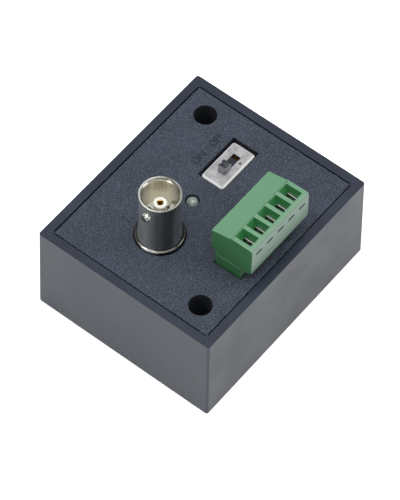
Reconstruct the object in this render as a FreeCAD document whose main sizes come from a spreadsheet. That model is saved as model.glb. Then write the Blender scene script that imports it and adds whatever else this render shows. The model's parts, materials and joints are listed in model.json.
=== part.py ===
import FreeCAD, Part
import math
import os
import re
import Sketcher

# Small moulded box with a coaxial bayonet jack, an indicator lamp, a slide switch and a
# pluggable five-way wire terminal on its lid. Millimetres; origin at the middle of the base,
# +X along the terminal, +Z up out of the lid.

POLES = 5
PADS_PER_ROW = 3
CHIPS = 4
AMPLIFIER_LEADS = 4
FLARE_STEPS = 2
DOME_STEPS = 3

# Driving sizes: alias, value, what it measures
SIZES = [
    ("case_length", 56.3, "case along X, at the top"),
    ("case_width", 47.8, "case along Y, at the top"),
    ("case_height", 26.6, "case height"),
    ("case_draft", 0.85, "draft of the outer walls, degrees"),
    ("cavity_draft", 0.4, "draft of the inner walls, degrees"),
    ("case_corner", 0.6, "radius of the upright outer edges"),
    ("base_bevel", 0.4, "bevel round the base"),
    ("cavity_corner", 0.8, "radius of the upright inner edges"),
    ("rim_width", 2.2, "wall at the top, beside the lid"),
    ("floor_thickness", 2.0, "bottom wall"),
    ("lid_gap", 0.25, "gap between lid and rim"),
    ("lid_thickness", 2.0, "lid plate"),
    ("lid_bevel", 0.15, "bevel round the lid's top edge"),
    ("well_inset_x", 7.75, "fixing well axis in from the case's end"),
    ("well_inset_y", 8.4, "fixing well axis in from the case's side"),
    ("well_diameter", 5.4, "well for a screw head"),
    ("well_floor", 4.0, "level that the screw head lands on"),
    ("screw_hole", 3.4, "through hole for the fixing screw"),
    ("column_wall", 1.5, "wall of the fixing columns"),
    ("web_thickness", 1.2, "webs from columns to walls"),
    ("post_size", 5.0, "square lid posts in the two plain corners"),
    ("ledge_width", 3.0, "board ledges, along the wall"),
    ("ledge_depth", 1.8, "board ledges, out from the wall"),
    ("ledge_place", 9.0, "board ledges, off the middle"),
    ("snap_width", 5.6, "snap tongue of the lid"),
    ("snap_thickness", 1.1, "tongue thickness"),
    ("snap_drop", 1.4, "lid underside to the barb"),
    ("snap_barb", 1.3, "height of the barb"),
    ("snap_catch", 0.5, "how far the barb reaches into the wall"),
    ("snap_slack", 0.15, "play round the snap tongue"),
    ("hold_width", 2.2, "square pillars that hold the board down"),
    ("hold_inset", 1.8, "pillar axis in from the wall"),
    ("hold_offset", 5.0, "pillars, off the middle"),
    ("board_thickness", 1.6, "circuit board"),
    ("board_slack", 0.4, "board to the walls and columns"),
    ("drill_slack", 0.1, "drilled holes over their pins"),
    ("over_cut", 1.0, "how far a cutting outline stands past the face it opens"),
    ("fit_slack", 0.02, "pressed and moulded-in fits"),
    ("tail_length", 3.0, "pins below the board's top"),
    ("row_y", 3.1, "line of jack, lamp and switch"),
    ("jack_x", -11.3, "jack axis"),
    ("jack_height", 21.1, "jack above the board"),
    ("jack_radius", 4.8, "barrel"),
    ("jack_flange_radius", 5.76, "foot of the barrel"),
    ("jack_flange_height", 6.75, "foot above the board"),
    ("jack_flare", 0.72, "hollow flare between foot and barrel, across"),
    ("jack_flare_height", 2.6, "hollow flare between foot and barrel, upwards"),
    ("jack_foot_bevel", 0.22, "bevel round the foot's edge"),
    ("jack_mouth_radius", 4.45, "mouth of the barrel"),
    ("jack_mouth_depth", 0.7, "straight part of the mouth"),
    ("jack_bore_radius", 4.05, "bore"),
    ("jack_floor", 1.0, "bottom wall of the jack"),
    ("jack_hole_gap", 0.15, "jack foot to the lid"),
    ("lug_radius", 1.0, "bayonet lugs"),
    ("lug_reach", 5.45, "lug tips from the axis"),
    ("lug_drop", 3.7, "lug axis below the mouth"),
    ("leg_spread", 3.55, "ground legs from the axis, along X and Y"),
    ("leg_width", 1.0, "square ground legs"),
    ("insulator_depth", 8.2, "insulator face below the mouth"),
    ("tower_radius", 1.5, "middle tower of the insulator"),
    ("tower_drop", 3.3, "tower top below the mouth"),
    ("groove_inner", 2.0, "four radial grooves, from the axis"),
    ("groove_outer", 3.8, "four radial grooves, to this radius"),
    ("groove_width", 0.7, "four radial grooves"),
    ("groove_depth", 0.6, "four radial grooves"),
    ("socket_radius", 1.0, "centre socket"),
    ("socket_bore", 0.62, "bore of the centre socket"),
    ("socket_depth", 4.5, "depth of that bore"),
    ("socket_slit", 0.22, "slits in the socket"),
    ("socket_slit_depth", 3.0, "depth of the slits"),
    ("lamp_x", 0.15, "lamp axis"),
    ("lamp_radius", 1.45, "lamp lens"),
    ("lamp_length", 5.3, "lens, flange to top"),
    ("lamp_standoff", 1.0, "lens above the board"),
    ("lamp_flange_radius", 1.85, "lens flange"),
    ("lamp_flange_height", 0.8, "lens flange"),
    ("lamp_lead", 0.5, "square leads"),
    ("lamp_lead_pitch", 2.54, "leads apart"),
    ("lamp_hole_gap", 0.18, "lens to the lid"),
    ("switch_x", 13.05, "middle of the switch"),
    ("switch_length", 12.0, "steel frame"),
    ("switch_width", 6.15, "steel frame"),
    ("switch_height", 5.35, "steel frame above the board"),
    ("switch_sheet", 0.35, "sheet of the frame"),
    ("switch_bend", 0.4, "bevel that stands for the frame's bends"),
    ("switch_window_gap", 0.5, "frame to the lid window"),
    ("switch_tab", 1.4, "width of the frame's board tabs"),
    ("dimple_radius", 0.3, "locating dimple in the frame"),
    ("dimple_x", 1.92, "dimple, from the frame's middle"),
    ("dimple_y", 1.82, "dimple, from the frame's middle"),
    ("slot_length", 5.96, "slot in the frame"),
    ("slot_width", 2.02, "slot in the frame"),
    ("slot_shift", 0.27, "slot off the frame's middle"),
    ("knob_length", 2.65, "switch knob"),
    ("knob_width", 1.84, "switch knob"),
    ("knob_height", 2.2, "knob above the frame"),
    ("knob_ridge", 0.5, "length of a ridge top"),
    ("knob_slope", 0.15, "length of a ridge's steep side"),
    ("knob_valley", 0.6, "length of the groove's bottom"),
    ("knob_shoulder", 1.1, "drop of the knob's sloping end"),
    ("knob_groove", 0.6, "depth of the groove between the ridges"),
    ("knob_slack", 0.1, "knob to the slot's ends, carriage to the frame"),
    ("carriage_length", 7.0, "sliding carriage"),
    ("carriage_width", 4.6, "sliding carriage"),
    ("carriage_height", 2.0, "sliding carriage"),
    ("carriage_lead", 2.35, "carriage past the knob's far side"),
    ("switch_board", 0.8, "base board of the switch"),
    ("switch_board_level", 0.5, "base board above the circuit board"),
    ("switch_pin", 0.6, "switch terminals"),
    ("switch_rivet", 0.2, "terminal heads above the base board"),
    ("switch_row", 2.5, "terminal rows apart"),
    ("bridge_width", 0.9, "bridging blades"),
    ("bridge_sheet", 0.2, "bridging blades"),
    ("terminal_x", 0.6, "middle of the terminal"),
    ("terminal_y", -14.36, "pins of the terminal"),
    ("pole_pitch", 3.81, "pole spacing"),
    ("end_margin", 1.05, "housing past the poles, both ends together"),
    ("header_depth", 7.0, "header shroud along Y"),
    ("header_height", 9.2, "header above the board"),
    ("header_proud", 3.35, "header above the lid"),
    ("header_wall", 0.9, "header walls"),
    ("header_floor", 1.6, "header floor"),
    ("header_window_gap", 0.3, "header to the lid window"),
    ("pin_size", 1.0, "square header pins"),
    ("pin_height", 8.2, "pins above the board"),
    ("plug_gap", 0.1, "plug nose to the shroud"),
    ("plug_lift", 0.05, "plug above the shroud"),
    ("nose_length", 6.5, "plug nose inside the shroud"),
    ("plug_front", 6.49, "plug front face from the pins"),
    ("plug_back", 4.61, "plug back face from the pins"),
    ("plug_height", 9.45, "top of the plug above the shroud"),
    ("plug_back_height", 7.8, "back edge of the plug above the shroud"),
    ("funnel_length", 4.35, "wire entry along Y"),
    ("front_wall", 1.2, "wall before the wire entries"),
    ("entry_width", 2.8, "wire entry along X"),
    ("chamber_width", 3.1, "clamp chamber along X"),
    ("chamber_low", 2.05, "clamp chamber floor above the shroud"),
    ("chamber_high", 6.5, "clamp chamber top above the shroud"),
    ("clamp_level", 4.4, "clamp screw axis above the shroud"),
    ("head_radius", 1.3, "clamp screw head"),
    ("head_height", 1.2, "clamp screw head"),
    ("head_sink", 0.65, "screw head below the back face"),
    ("head_slack", 0.15, "screw head in its bore"),
    ("retaining_wall", 0.75, "wall under the screw head"),
    ("screw_radius", 1.0, "clamp screw"),
    ("thread_slack", 0.08, "clamp screw in its cage"),
    ("drive_slot", 0.4, "driver slot"),
    ("clamp_travel", 1.6, "travel of the clamping cage"),
    ("cage_side", 0.35, "cage side walls"),
    ("cage_thread_wall", 1.15, "threaded wall of the cage"),
    ("cage_jaw", 0.6, "clamping wall of the cage"),
    ("cage_slack", 0.1, "cage to the parts round it"),
    ("bar_thickness", 0.8, "fixed clamping bar"),
    ("bar_width", 1.5, "fixed clamping bar"),
    ("spring_width", 2.2, "spring socket along X"),
    ("spring_depth", 2.5, "spring socket along Y"),
    ("spring_slack", 0.1, "spring socket in the housing"),
    ("plug_toe", 1.25, "near bottom bevel of the plug, depth"),
    ("plug_toe_low", 0.15, "near bottom bevel, low edge above the underside"),
    ("plug_toe_high", 1.05, "near bottom bevel, high edge above the underside"),
    ("plug_brow", 0.8, "near top bevel of the plug, height"),
    ("plug_brow_depth", 0.4, "near top bevel, depth"),
    ("step_low", 0.2, "strip behind the entries, below the top"),
    ("step_run", 0.35, "small step behind the entries, along Y"),
    ("step_fall", 0.22, "small step behind the entries, drop"),
    ("plug_heel", 0.85, "far bottom bevel of the plug, depth"),
    ("plug_heel_low", 1.1, "far bottom bevel, low edge above the underside"),
    ("plug_heel_high", 1.7, "far bottom bevel, high edge above the underside"),
    ("nose_root", 0.5, "plug nose let into the housing"),
    ("slit_width", 1.85, "slits in the plug's front"),
    ("slit_height", 0.45, "slits in the plug's front"),
    ("slit_depth", 0.7, "slits in the plug's front"),
    ("slit_level", 7.0, "slits above the shroud"),
    ("capacitor_radius", 3.15, "smoothing capacitor"),
    ("capacitor_length", 7.7, "smoothing capacitor"),
    ("capacitor_base", 6.6, "its square foot"),
    ("capacitor_base_height", 1.0, "its square foot"),
    ("capacitor_inset_x", 7.8, "capacitors in from the board's ends"),
    ("capacitor_inset_y", 10.05, "capacitors in from the board's sides"),
    ("choke_radius", 6.1, "line choke ring, outside"),
    ("choke_bore", 2.9, "line choke ring, inside"),
    ("choke_height", 3.2, "line choke ring"),
    ("choke_foot", 1.0, "choke carrier"),
    ("choke_gap", 1.55, "choke behind the lamp's leads"),
    ("arrester_length", 5.0, "surge arrester"),
    ("arrester_radius", 1.6, "surge arrester"),
    ("arrester_band", 1.0, "metal end of a surge arrester"),
    ("arrester_gap", 3.86, "surge arresters behind the terminal header"),
    ("arrester_x", 8.25, "surge arresters, from the middle"),
    ("chip_length", 2.0, "chip resistor or capacitor"),
    ("chip_width", 1.25, "chip resistor or capacitor"),
    ("chip_height", 0.6, "chip resistor or capacitor"),
    ("chip_pitch", 3.0, "chips apart"),
    ("chip_inset", 2.55, "row of chip resistors in from the board's back edge"),
    ("amplifier_length", 4.9, "amplifier chip"),
    ("amplifier_width", 3.9, "amplifier chip"),
    ("amplifier_height", 1.5, "amplifier chip"),
    ("amplifier_inset", 9.05, "amplifier chip in from the board's back edge"),
    ("amplifier_lift", 0.15, "amplifier chip above the board"),
    ("amplifier_lead", 0.4, "amplifier leads, width"),
    ("amplifier_lead_reach", 1.0, "amplifier leads, past the chip"),
    ("amplifier_lead_sheet", 0.45, "amplifier leads, height at the chip"),
    ("regulator_length", 4.5, "voltage regulator"),
    ("regulator_width", 2.5, "voltage regulator"),
    ("regulator_height", 1.5, "voltage regulator"),
    ("regulator_edge", 0.8, "voltage regulator to the board's notch"),
    ("regulator_inset", 8.05, "voltage regulator in from the board's back edge"),
    ("regulator_tab", 1.8, "its metal tab, width"),
    ("regulator_tab_sheet", 0.4, "its metal tab, thickness"),
    ("diode_length", 4.3, "supply diode"),
    ("diode_width", 2.6, "supply diode"),
    ("diode_height", 2.2, "supply diode"),
    ("diode_inset", 6.8, "supply diode in from the board's end"),
    ("diode_y", -8.0, "supply diode"),
    ("diode_lead", 1.3, "its leads, width"),
    ("diode_lead_reach", 0.5, "its leads, past the body"),
    ("diode_lead_sheet", 0.55, "its leads, thickness"),
]

# Levels and places worked out from the driving sizes
PLACES = {
    "lid_bottom": "case_height - lid_thickness",
    "board_top": "case_height + header_proud - header_height",
    "board_bottom": "board_top - board_thickness",
    "cavity_half_x": "case_length / 2 - rim_width",
    "cavity_half_y": "case_width / 2 - rim_width",
    "lid_half_x": "cavity_half_x - lid_gap",
    "lid_half_y": "cavity_half_y - lid_gap",
    "board_half_x": "cavity_half_x - lid_gap - board_slack",
    "board_half_y": "cavity_half_y - lid_gap - board_slack",
    "well_x": "case_length / 2 - well_inset_x",
    "well_y": "case_width / 2 - well_inset_y",
    "hold_x": "cavity_half_x - hold_inset",
    "hold_y": "cavity_half_y - hold_inset",
    "column_radius": "well_diameter / 2 + column_wall",
    "notch_x": "well_x - column_radius - board_slack",
    "notch_y": "well_y - column_radius - board_slack",
    "corner_x": "cavity_half_x - post_size",
    "corner_y": "cavity_half_y - post_size",
    "frame_inner_x": "switch_length / 2 - switch_sheet",
    "frame_inner_y": "switch_width / 2 - switch_sheet",
    "plate_bottom": "switch_height - switch_sheet",
    "knob_start": "slot_shift - slot_length / 2 + knob_slack",
    "knob_travel": "slot_length - knob_length - 2 * knob_slack",
    "carriage_top": "plate_bottom - knob_slack",
    "carriage_bottom": "carriage_top - carriage_height",
    "carriage_end": "knob_start + knob_length + carriage_lead",
    "switch_board_top": "switch_board_level + switch_board",
    "pad_start": "knob_start + knob_length / 2 - knob_travel / 2",
    "first_pole": "(1 - %d) * pole_pitch / 2" % POLES,
    "plug_half": "(%d * pole_pitch + end_margin) / 2" % POLES,
    "shroud_top": "case_height + header_proud",
    "entry_front": "front_wall - plug_front",
    "entry_back": "entry_front + funnel_length",
    "head_top": "plug_back - head_sink",
    "head_bottom": "head_top - head_height",
    "chamber_back": "head_bottom - fit_slack - retaining_wall",
    "chamber_front": "entry_front",
    "cage_front": "chamber_front + cage_slack",
    "cage_width": "chamber_width - 2 * cage_slack",
    "cage_thread_back": "chamber_back - cage_slack - clamp_travel",
    "cage_thread_front": "cage_thread_back - cage_thread_wall",
    "bar_back": "cage_thread_front - cage_slack",
    "bar_front": "bar_back - bar_thickness",
    "cage_low": "chamber_low + cage_slack",
    "cage_high": "chamber_high - cage_slack",
    "spring_top": "chamber_low - cage_slack",
    "entry_top": "plug_height - step_low",
    "chip_x": "(corner_x + hold_offset + hold_width / 2) / 2",
    "chip_y": "board_half_y - chip_inset",
    "amplifier_y": "board_half_y - amplifier_inset",
    "regulator_x": "notch_x - regulator_edge - regulator_length / 2",
    "regulator_y": "board_half_y - regulator_inset",
    "diode_x": "board_half_x - diode_inset",
    "capacitor_x": "board_half_x - capacitor_inset_x",
    "capacitor_y": "board_half_y - capacitor_inset_y",
    "choke_y": "row_y + lamp_lead / 2 + choke_gap + choke_radius",
    "arrester_y": "terminal_y + header_depth / 2 + arrester_gap",
    "nose_half_y": "header_depth / 2 - header_wall - plug_gap",
}

doc = FreeCAD.newDocument("terminal_box")
dims = doc.addObject("Spreadsheet::Sheet", "Dims")
dims.set("A1", "size")
dims.set("B1", "millimetres")
for row, (alias, value, note) in enumerate(SIZES, start=2):
    dims.set("A%d" % row, alias)
    dims.set("B%d" % row, str(value))
    dims.set("C%d" % row, note)
    dims.setAlias("B%d" % row, alias)
doc.recompute()

ALIASES = {alias for alias, value, note in SIZES}
sub_parts = []


def bound(text):
    """Write a formula of size names as one on the sheet's cells."""
    def swap(match):
        word = match.group(0)
        if word in PLACES:
            return "(" + bound(PLACES[word]) + ")"
        return "Dims." + word if word in ALIASES else word
    return re.sub(r"[a-z_][a-z_0-9]*", swap, str(text))


def size(text):
    """Return the present value of a formula of size names."""
    return float(dims.evalExpression(bound(text)))


def bind(item, prop, text):
    item.setExpression(prop, bound(text))


def place(item, x="0", y="0", z="0"):
    bind(item, "Placement.Base.x", x)
    bind(item, "Placement.Base.y", y)
    bind(item, "Placement.Base.z", z)
    return item


def keep(item, label):
    """Name a finished sub-part and list it for output."""
    item.Label = label
    sub_parts.append(item)
    return item


# Sketches and features

def new_body(label, x="0", y="0", z="0"):
    body = doc.addObject("PartDesign::Body", label)
    place(body, x, y, z)
    return keep(body, label)


def new_sketch(body, name, plane="XY_Plane", level="0"):
    sketch = body.newObject("Sketcher::SketchObject", name)
    support = [item for item in body.Origin.OriginFeatures if item.Role == plane][0]
    sketch.AttachmentSupport = (support, [""])
    sketch.MapMode = "FlatFace"
    bind(sketch, "AttachmentOffset.Base.z", level)
    return sketch


def tie_point(sketch, index, end, x, y):
    """Hold one point of a sketch at x, y from the sketch's origin."""
    for kind, text in (("DistanceX", x), ("DistanceY", y)):
        rule = sketch.addConstraint(Sketcher.Constraint(kind, -1, 1, index, end, size(text)))
        sketch.setExpression("Constraints[%d]" % rule, bound(text))


def outline(sketch, points):
    """Draw a closed outline through points given as formulas."""
    corners = [FreeCAD.Vector(size(x), size(y), 0) for x, y in points]
    first = sketch.GeometryCount
    count = len(points)
    for number in range(count):
        line = Part.LineSegment(corners[number], corners[(number + 1) % count])
        sketch.addGeometry(line, False)
    for number in range(count):
        after = first + (number + 1) % count
        sketch.addConstraint(Sketcher.Constraint("Coincident", first + number, 2, after, 1))
    for number, (x, y) in enumerate(points):
        tie_point(sketch, first + number, 1, x, y)


def rectangle(sketch, low_x, low_y, high_x, high_y):
    outline(sketch, [(low_x, low_y), (high_x, low_y), (high_x, high_y), (low_x, high_y)])


def centred(sketch, half_x, half_y):
    rectangle(sketch, "-(%s)" % half_x, "-(%s)" % half_y, half_x, half_y)


def square(sketch, x, y, half):
    rectangle(sketch, "%s - %s" % (x, half), "%s - %s" % (y, half),
              "%s + %s" % (x, half), "%s + %s" % (y, half))


def circle(sketch, x, y, radius):
    ring = Part.Circle(FreeCAD.Vector(size(x), size(y), 0), FreeCAD.Vector(0, 0, 1), size(radius))
    index = sketch.addGeometry(ring, False)
    rule = sketch.addConstraint(Sketcher.Constraint("Radius", index, size(radius)))
    sketch.setExpression("Constraints[%d]" % rule, bound(radius))
    tie_point(sketch, index, 3, x, y)


def volume(body):
    return body.Tip.Shape.Volume if body.Tip and not body.Tip.Shape.isNull() else 0.0


def feature(body, kind, name, profile, length, back=False, both=False):
    """Add or cut a straight feature and make sure that it worked the right way."""
    before = volume(body)
    item = body.newObject("PartDesign::" + kind, name)
    item.Profile = profile
    bind(item, "Length", length)
    if both:
        item.SideType = "Symmetric"
    item.Reversed = back
    doc.recompute()
    grown = volume(body) - before
    if (kind == "Pad") != (grown > 0) or abs(grown) < 1e-6:
        raise ValueError("%s changed the volume by %.4f" % (name, grown))
    return item


def pad(body, name, profile, length, **options):
    return feature(body, "Pad", name, profile, length, **options)


def pocket(body, name, profile, length, **options):
    return feature(body, "Pocket", name, profile, length, **options)


def revolve(body, name, profile):
    item = body.newObject("PartDesign::Revolution", name)
    item.Profile = profile
    item.ReferenceAxis = (profile, ["V_Axis"])
    item.Angle = 360
    doc.recompute()
    return item


def soften(body, name, kind, edge_test, amount):
    """Round or bevel the edges of the body's tip that pass a test."""
    base = body.Tip
    names = ["Edge%d" % (number + 1) for number, edge in enumerate(base.Shape.Edges)
             if edge_test(edge)]
    if not names:
        raise ValueError("%s found no edges" % name)
    item = body.newObject("PartDesign::" + kind, name)
    item.Base = (base, names)
    bind(item, "Radius" if kind == "Fillet" else "Size", amount)
    doc.recompute()
    return item


def lean(body, name, wall_test, level, angle, back=False):
    """Lean flat upright faces about the level where they keep their place."""
    base = body.Tip
    faces = list(enumerate(base.Shape.Faces, start=1))
    item = body.newObject("PartDesign::Draft", name)
    item.Base = (base, ["Face%d" % number for number, face in faces if wall_test(face)])
    still = ["Face%d" % number for number, face in faces if lies_at(face, level)]
    item.NeutralPlane = (base, still[:1])
    item.Reversed = back
    bind(item, "Angle", angle)
    doc.recompute()
    return item


def in_row(body, name, features, pitch, count):
    """Repeat features along X."""
    item = body.newObject("PartDesign::LinearPattern", name)
    item.Originals = features
    axis = [piece for piece in body.Origin.OriginFeatures if piece.Role == "X_Axis"][0]
    item.Direction = (axis, [""])
    bind(item, "Length", "(%d) * (%s)" % (count - 1, pitch))
    item.Occurrences = count
    body.Tip = item
    doc.recompute()
    return item


def is_upright(edge):
    box = edge.BoundBox
    return box.ZLength > 4 * max(box.XLength, box.YLength)


def lies_at(edge, level):
    box = edge.BoundBox
    return box.ZLength < 1e-6 and abs(box.ZMin - level) < 1e-6


# Primitives and booleans

def box(name, low, span):
    item = doc.addObject("Part::Box", name)
    for prop, text in zip(("Length", "Width", "Height"), span):
        bind(item, prop, text)
    return place(item, *low)


def cylinder(name, foot, radius, height):
    item = doc.addObject("Part::Cylinder", name)
    bind(item, "Radius", radius)
    bind(item, "Height", height)
    return place(item, *foot)


def fused(name, shapes):
    item = doc.addObject("Part::MultiFuse", name)
    item.Shapes = shapes
    item.Refine = True
    return item


def grouped(name, shapes):
    item = doc.addObject("Part::Compound", name)
    item.Links = shapes
    return item


# Case: drafted walls, fixing columns, lid posts, board ledges and catch pockets

def make_case():
    body = new_body("case_shell")
    face = new_sketch(body, "case_outline", level="case_height")
    centred(face, "case_length / 2", "case_width / 2")
    pad(body, "case_block", face, "case_height", back=True)
    top = size("case_height")
    lean(body, "case_walls", lambda side: side.BoundBox.ZLength > top / 2, top, "case_draft")
    soften(body, "case_corners", "Fillet", is_upright, "case_corner")
    soften(body, "case_foot", "Chamfer", lambda edge: lies_at(edge, 0), "base_bevel")

    mouth = new_sketch(body, "cavity_outline", level="case_height")
    centred(mouth, "cavity_half_x", "cavity_half_y")
    pocket(body, "cavity", mouth, "case_height - floor_thickness")
    reach_x = size("cavity_half_x + rim_width / 2")
    reach_y = size("cavity_half_y + rim_width / 2")

    def is_inner(item):
        span = item.BoundBox
        inside = max(-span.XMin, span.XMax) < reach_x and max(-span.YMin, span.YMax) < reach_y
        return inside and span.ZLength > top / 2

    lean(body, "cavity_walls", is_inner, top, "cavity_draft")
    soften(body, "cavity_corners", "Fillet", is_inner, "cavity_corner")

    start = "floor_thickness / 2"
    columns = new_sketch(body, "column_outline", level=start)
    circle(columns, "well_x", "well_y", "column_radius")
    circle(columns, "-well_x", "-well_y", "column_radius")
    pad(body, "columns", columns, "lid_bottom - " + start)
    webs = new_sketch(body, "web_outline", level=start)
    half = "web_thickness / 2"
    wall_x = "cavity_half_x + rim_width / 4"
    wall_y = "cavity_half_y + rim_width / 4"
    rectangle(webs, "well_x", "well_y - " + half, wall_x, "well_y + " + half)
    rectangle(webs, "-(%s)" % wall_x, "-well_y - " + half, "-well_x", "-well_y + " + half)
    pad(body, "side_webs", webs, "lid_bottom - " + start)
    webs = new_sketch(body, "back_web_outline", level=start)
    rectangle(webs, "well_x - " + half, "well_y", "well_x + " + half, wall_y)
    rectangle(webs, "-well_x - " + half, "-(%s)" % wall_y, "-well_x + " + half, "-well_y")
    pad(body, "back_webs", webs, "lid_bottom - " + start)

    posts = new_sketch(body, "post_outline", level=start)
    rectangle(posts, "-(%s)" % wall_x, "corner_y", "-corner_x", wall_y)
    rectangle(posts, "corner_x", "-(%s)" % wall_y, wall_x, "-corner_y")
    pad(body, "lid_posts", posts, "lid_bottom - " + start)

    ledges = new_sketch(body, "ledge_outline", level=start)
    for sign in ("", "-"):
        low = "%sledge_place - ledge_width / 2" % sign
        high = "%sledge_place + ledge_width / 2" % sign
        rectangle(ledges, low, "-(%s)" % wall_y, high, "ledge_depth - cavity_half_y")
        rectangle(ledges, low, "cavity_half_y - ledge_depth", high, wall_y)
        rectangle(ledges, "-(%s)" % wall_x, low, "ledge_depth - cavity_half_x", high)
        rectangle(ledges, "cavity_half_x - ledge_depth", low, wall_x, high)
    pad(body, "board_ledges", ledges, "board_bottom - " + start)

    catches = new_sketch(body, "catch_outline", level="lid_bottom - snap_drop + snap_slack")
    centred(catches, "snap_width / 2 + snap_slack",
            "cavity_half_y + snap_catch + snap_slack")
    pocket(body, "catch_pockets", catches, "snap_barb + 2 * snap_slack")

    wells = new_sketch(body, "well_outline", level="lid_bottom")
    circle(wells, "well_x", "well_y", "well_diameter / 2")
    circle(wells, "-well_x", "-well_y", "well_diameter / 2")
    pocket(body, "wells", wells, "lid_bottom - well_floor")
    holes = new_sketch(body, "screw_hole_outline", level="well_floor")
    circle(holes, "well_x", "well_y", "screw_hole / 2")
    circle(holes, "-well_x", "-well_y", "screw_hole / 2")
    pocket(body, "screw_holes", holes, "well_floor")


# Lid: plate with its cut-outs, snap tongues and the pillars that hold the board

def make_lid():
    body = new_body("lid", z="lid_bottom")
    plate = new_sketch(body, "lid_outline")
    centred(plate, "lid_half_x", "lid_half_y")
    pad(body, "lid_plate", plate, "lid_thickness")
    top = size("lid_thickness")
    soften(body, "lid_edge", "Chamfer", lambda edge: lies_at(edge, top), "lid_bevel")

    holes = new_sketch(body, "lid_holes", level="lid_thickness")
    circle(holes, "well_x", "well_y", "well_diameter / 2")
    circle(holes, "-well_x", "-well_y", "well_diameter / 2")
    circle(holes, "jack_x", "row_y", "jack_flange_radius + jack_hole_gap")
    circle(holes, "lamp_x", "row_y", "lamp_radius + lamp_hole_gap")
    pocket(body, "round_cut_outs", holes, "lid_thickness")

    windows = new_sketch(body, "lid_windows", level="lid_thickness")
    half_x = "(switch_length / 2 + switch_window_gap)"
    half_y = "(switch_width / 2 + switch_window_gap)"
    rectangle(windows, "switch_x - " + half_x, "row_y - " + half_y,
              "switch_x + " + half_x, "row_y + " + half_y)
    half_x = "(plug_half + header_window_gap)"
    half_y = "(header_depth / 2 + header_window_gap)"
    rectangle(windows, "terminal_x - " + half_x, "terminal_y - " + half_y,
              "terminal_x + " + half_x, "terminal_y + " + half_y)
    pocket(body, "windows", windows, "lid_thickness")

    tongues = new_sketch(body, "tongue_outline", plane="YZ_Plane")
    face = "(cavity_half_y - 2 * snap_slack)"
    tip = "(cavity_half_y + snap_catch)"
    root = "(%s - snap_thickness)" % face
    shape = [(root, "lid_thickness / 2"), (face, "lid_thickness / 2"), (face, "-snap_drop"),
             (tip, "-snap_drop"), (tip, "-snap_drop - snap_barb / 3"),
             (face, "-snap_drop - snap_barb"), (root, "-snap_drop - snap_barb")]
    outline(tongues, shape)
    outline(tongues, [("-" + y, z) for y, z in shape])
    pad(body, "snap_tongues", tongues, "snap_width", both=True)

    pillars = new_sketch(body, "pillar_outline", level="0")
    square(pillars, "hold_x", "-hold_offset", "hold_width / 2")
    square(pillars, "-hold_x", "hold_offset", "hold_width / 2")
    square(pillars, "hold_offset", "hold_y", "hold_width / 2")
    square(pillars, "-hold_offset", "-hold_y", "hold_width / 2")
    pad(body, "hold_down_pillars", pillars, "lid_bottom - board_top", back=True)


# Circuit board: notched round the columns and posts, drilled for every pin

def make_board():
    body = new_body("circuit_board", z="board_bottom")
    blank = new_sketch(body, "board_outline")
    x, y = "board_half_x", "board_half_y"
    plain_x = "(corner_x - board_slack)"
    plain_y = "(corner_y - board_slack)"
    outline(blank, [
        ("-notch_x", "-" + y), (plain_x, "-" + y), (plain_x, "-" + plain_y),
        (x, "-" + plain_y), (x, "notch_y"), ("notch_x", "notch_y"), ("notch_x", y),
        ("-" + plain_x, y), ("-" + plain_x, plain_y), ("-" + x, plain_y),
        ("-" + x, "-notch_y"), ("-notch_x", "-notch_y")])
    pad(body, "board_blank", blank, "board_thickness")
    drills = new_sketch(body, "board_drillings", level="board_thickness")
    for pole in range(POLES):
        square(drills, "terminal_x + first_pole + %d * pole_pitch" % pole, "terminal_y",
               "(pin_size / 2 + drill_slack)")
    circle(drills, "jack_x", "row_y", "socket_bore + drill_slack")
    for side in (1, -1):
        for end in (1, -1):
            square(drills, "jack_x + %d * leg_spread" % side, "row_y + %d * leg_spread" % end,
                   "(leg_width / 2 + drill_slack)")
        square(drills, "lamp_x + %d * lamp_lead_pitch / 2" % side, "row_y",
               "(lamp_lead / 2 + drill_slack)")
        square(drills, "switch_x + %d * (switch_length - switch_sheet) / 2" % side, "row_y",
               "(switch_tab / 2 + drill_slack)")
        for number in range(PADS_PER_ROW):
            square(drills, "switch_x + pad_start + %d * knob_travel" % number,
                   "row_y + %d * switch_row / 2" % side, "(switch_pin / 2 + drill_slack)")
    pocket(body, "drillings", drills, "board_thickness")


# Bayonet jack: barrel with lugs and ground legs, insulator, centre socket

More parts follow.
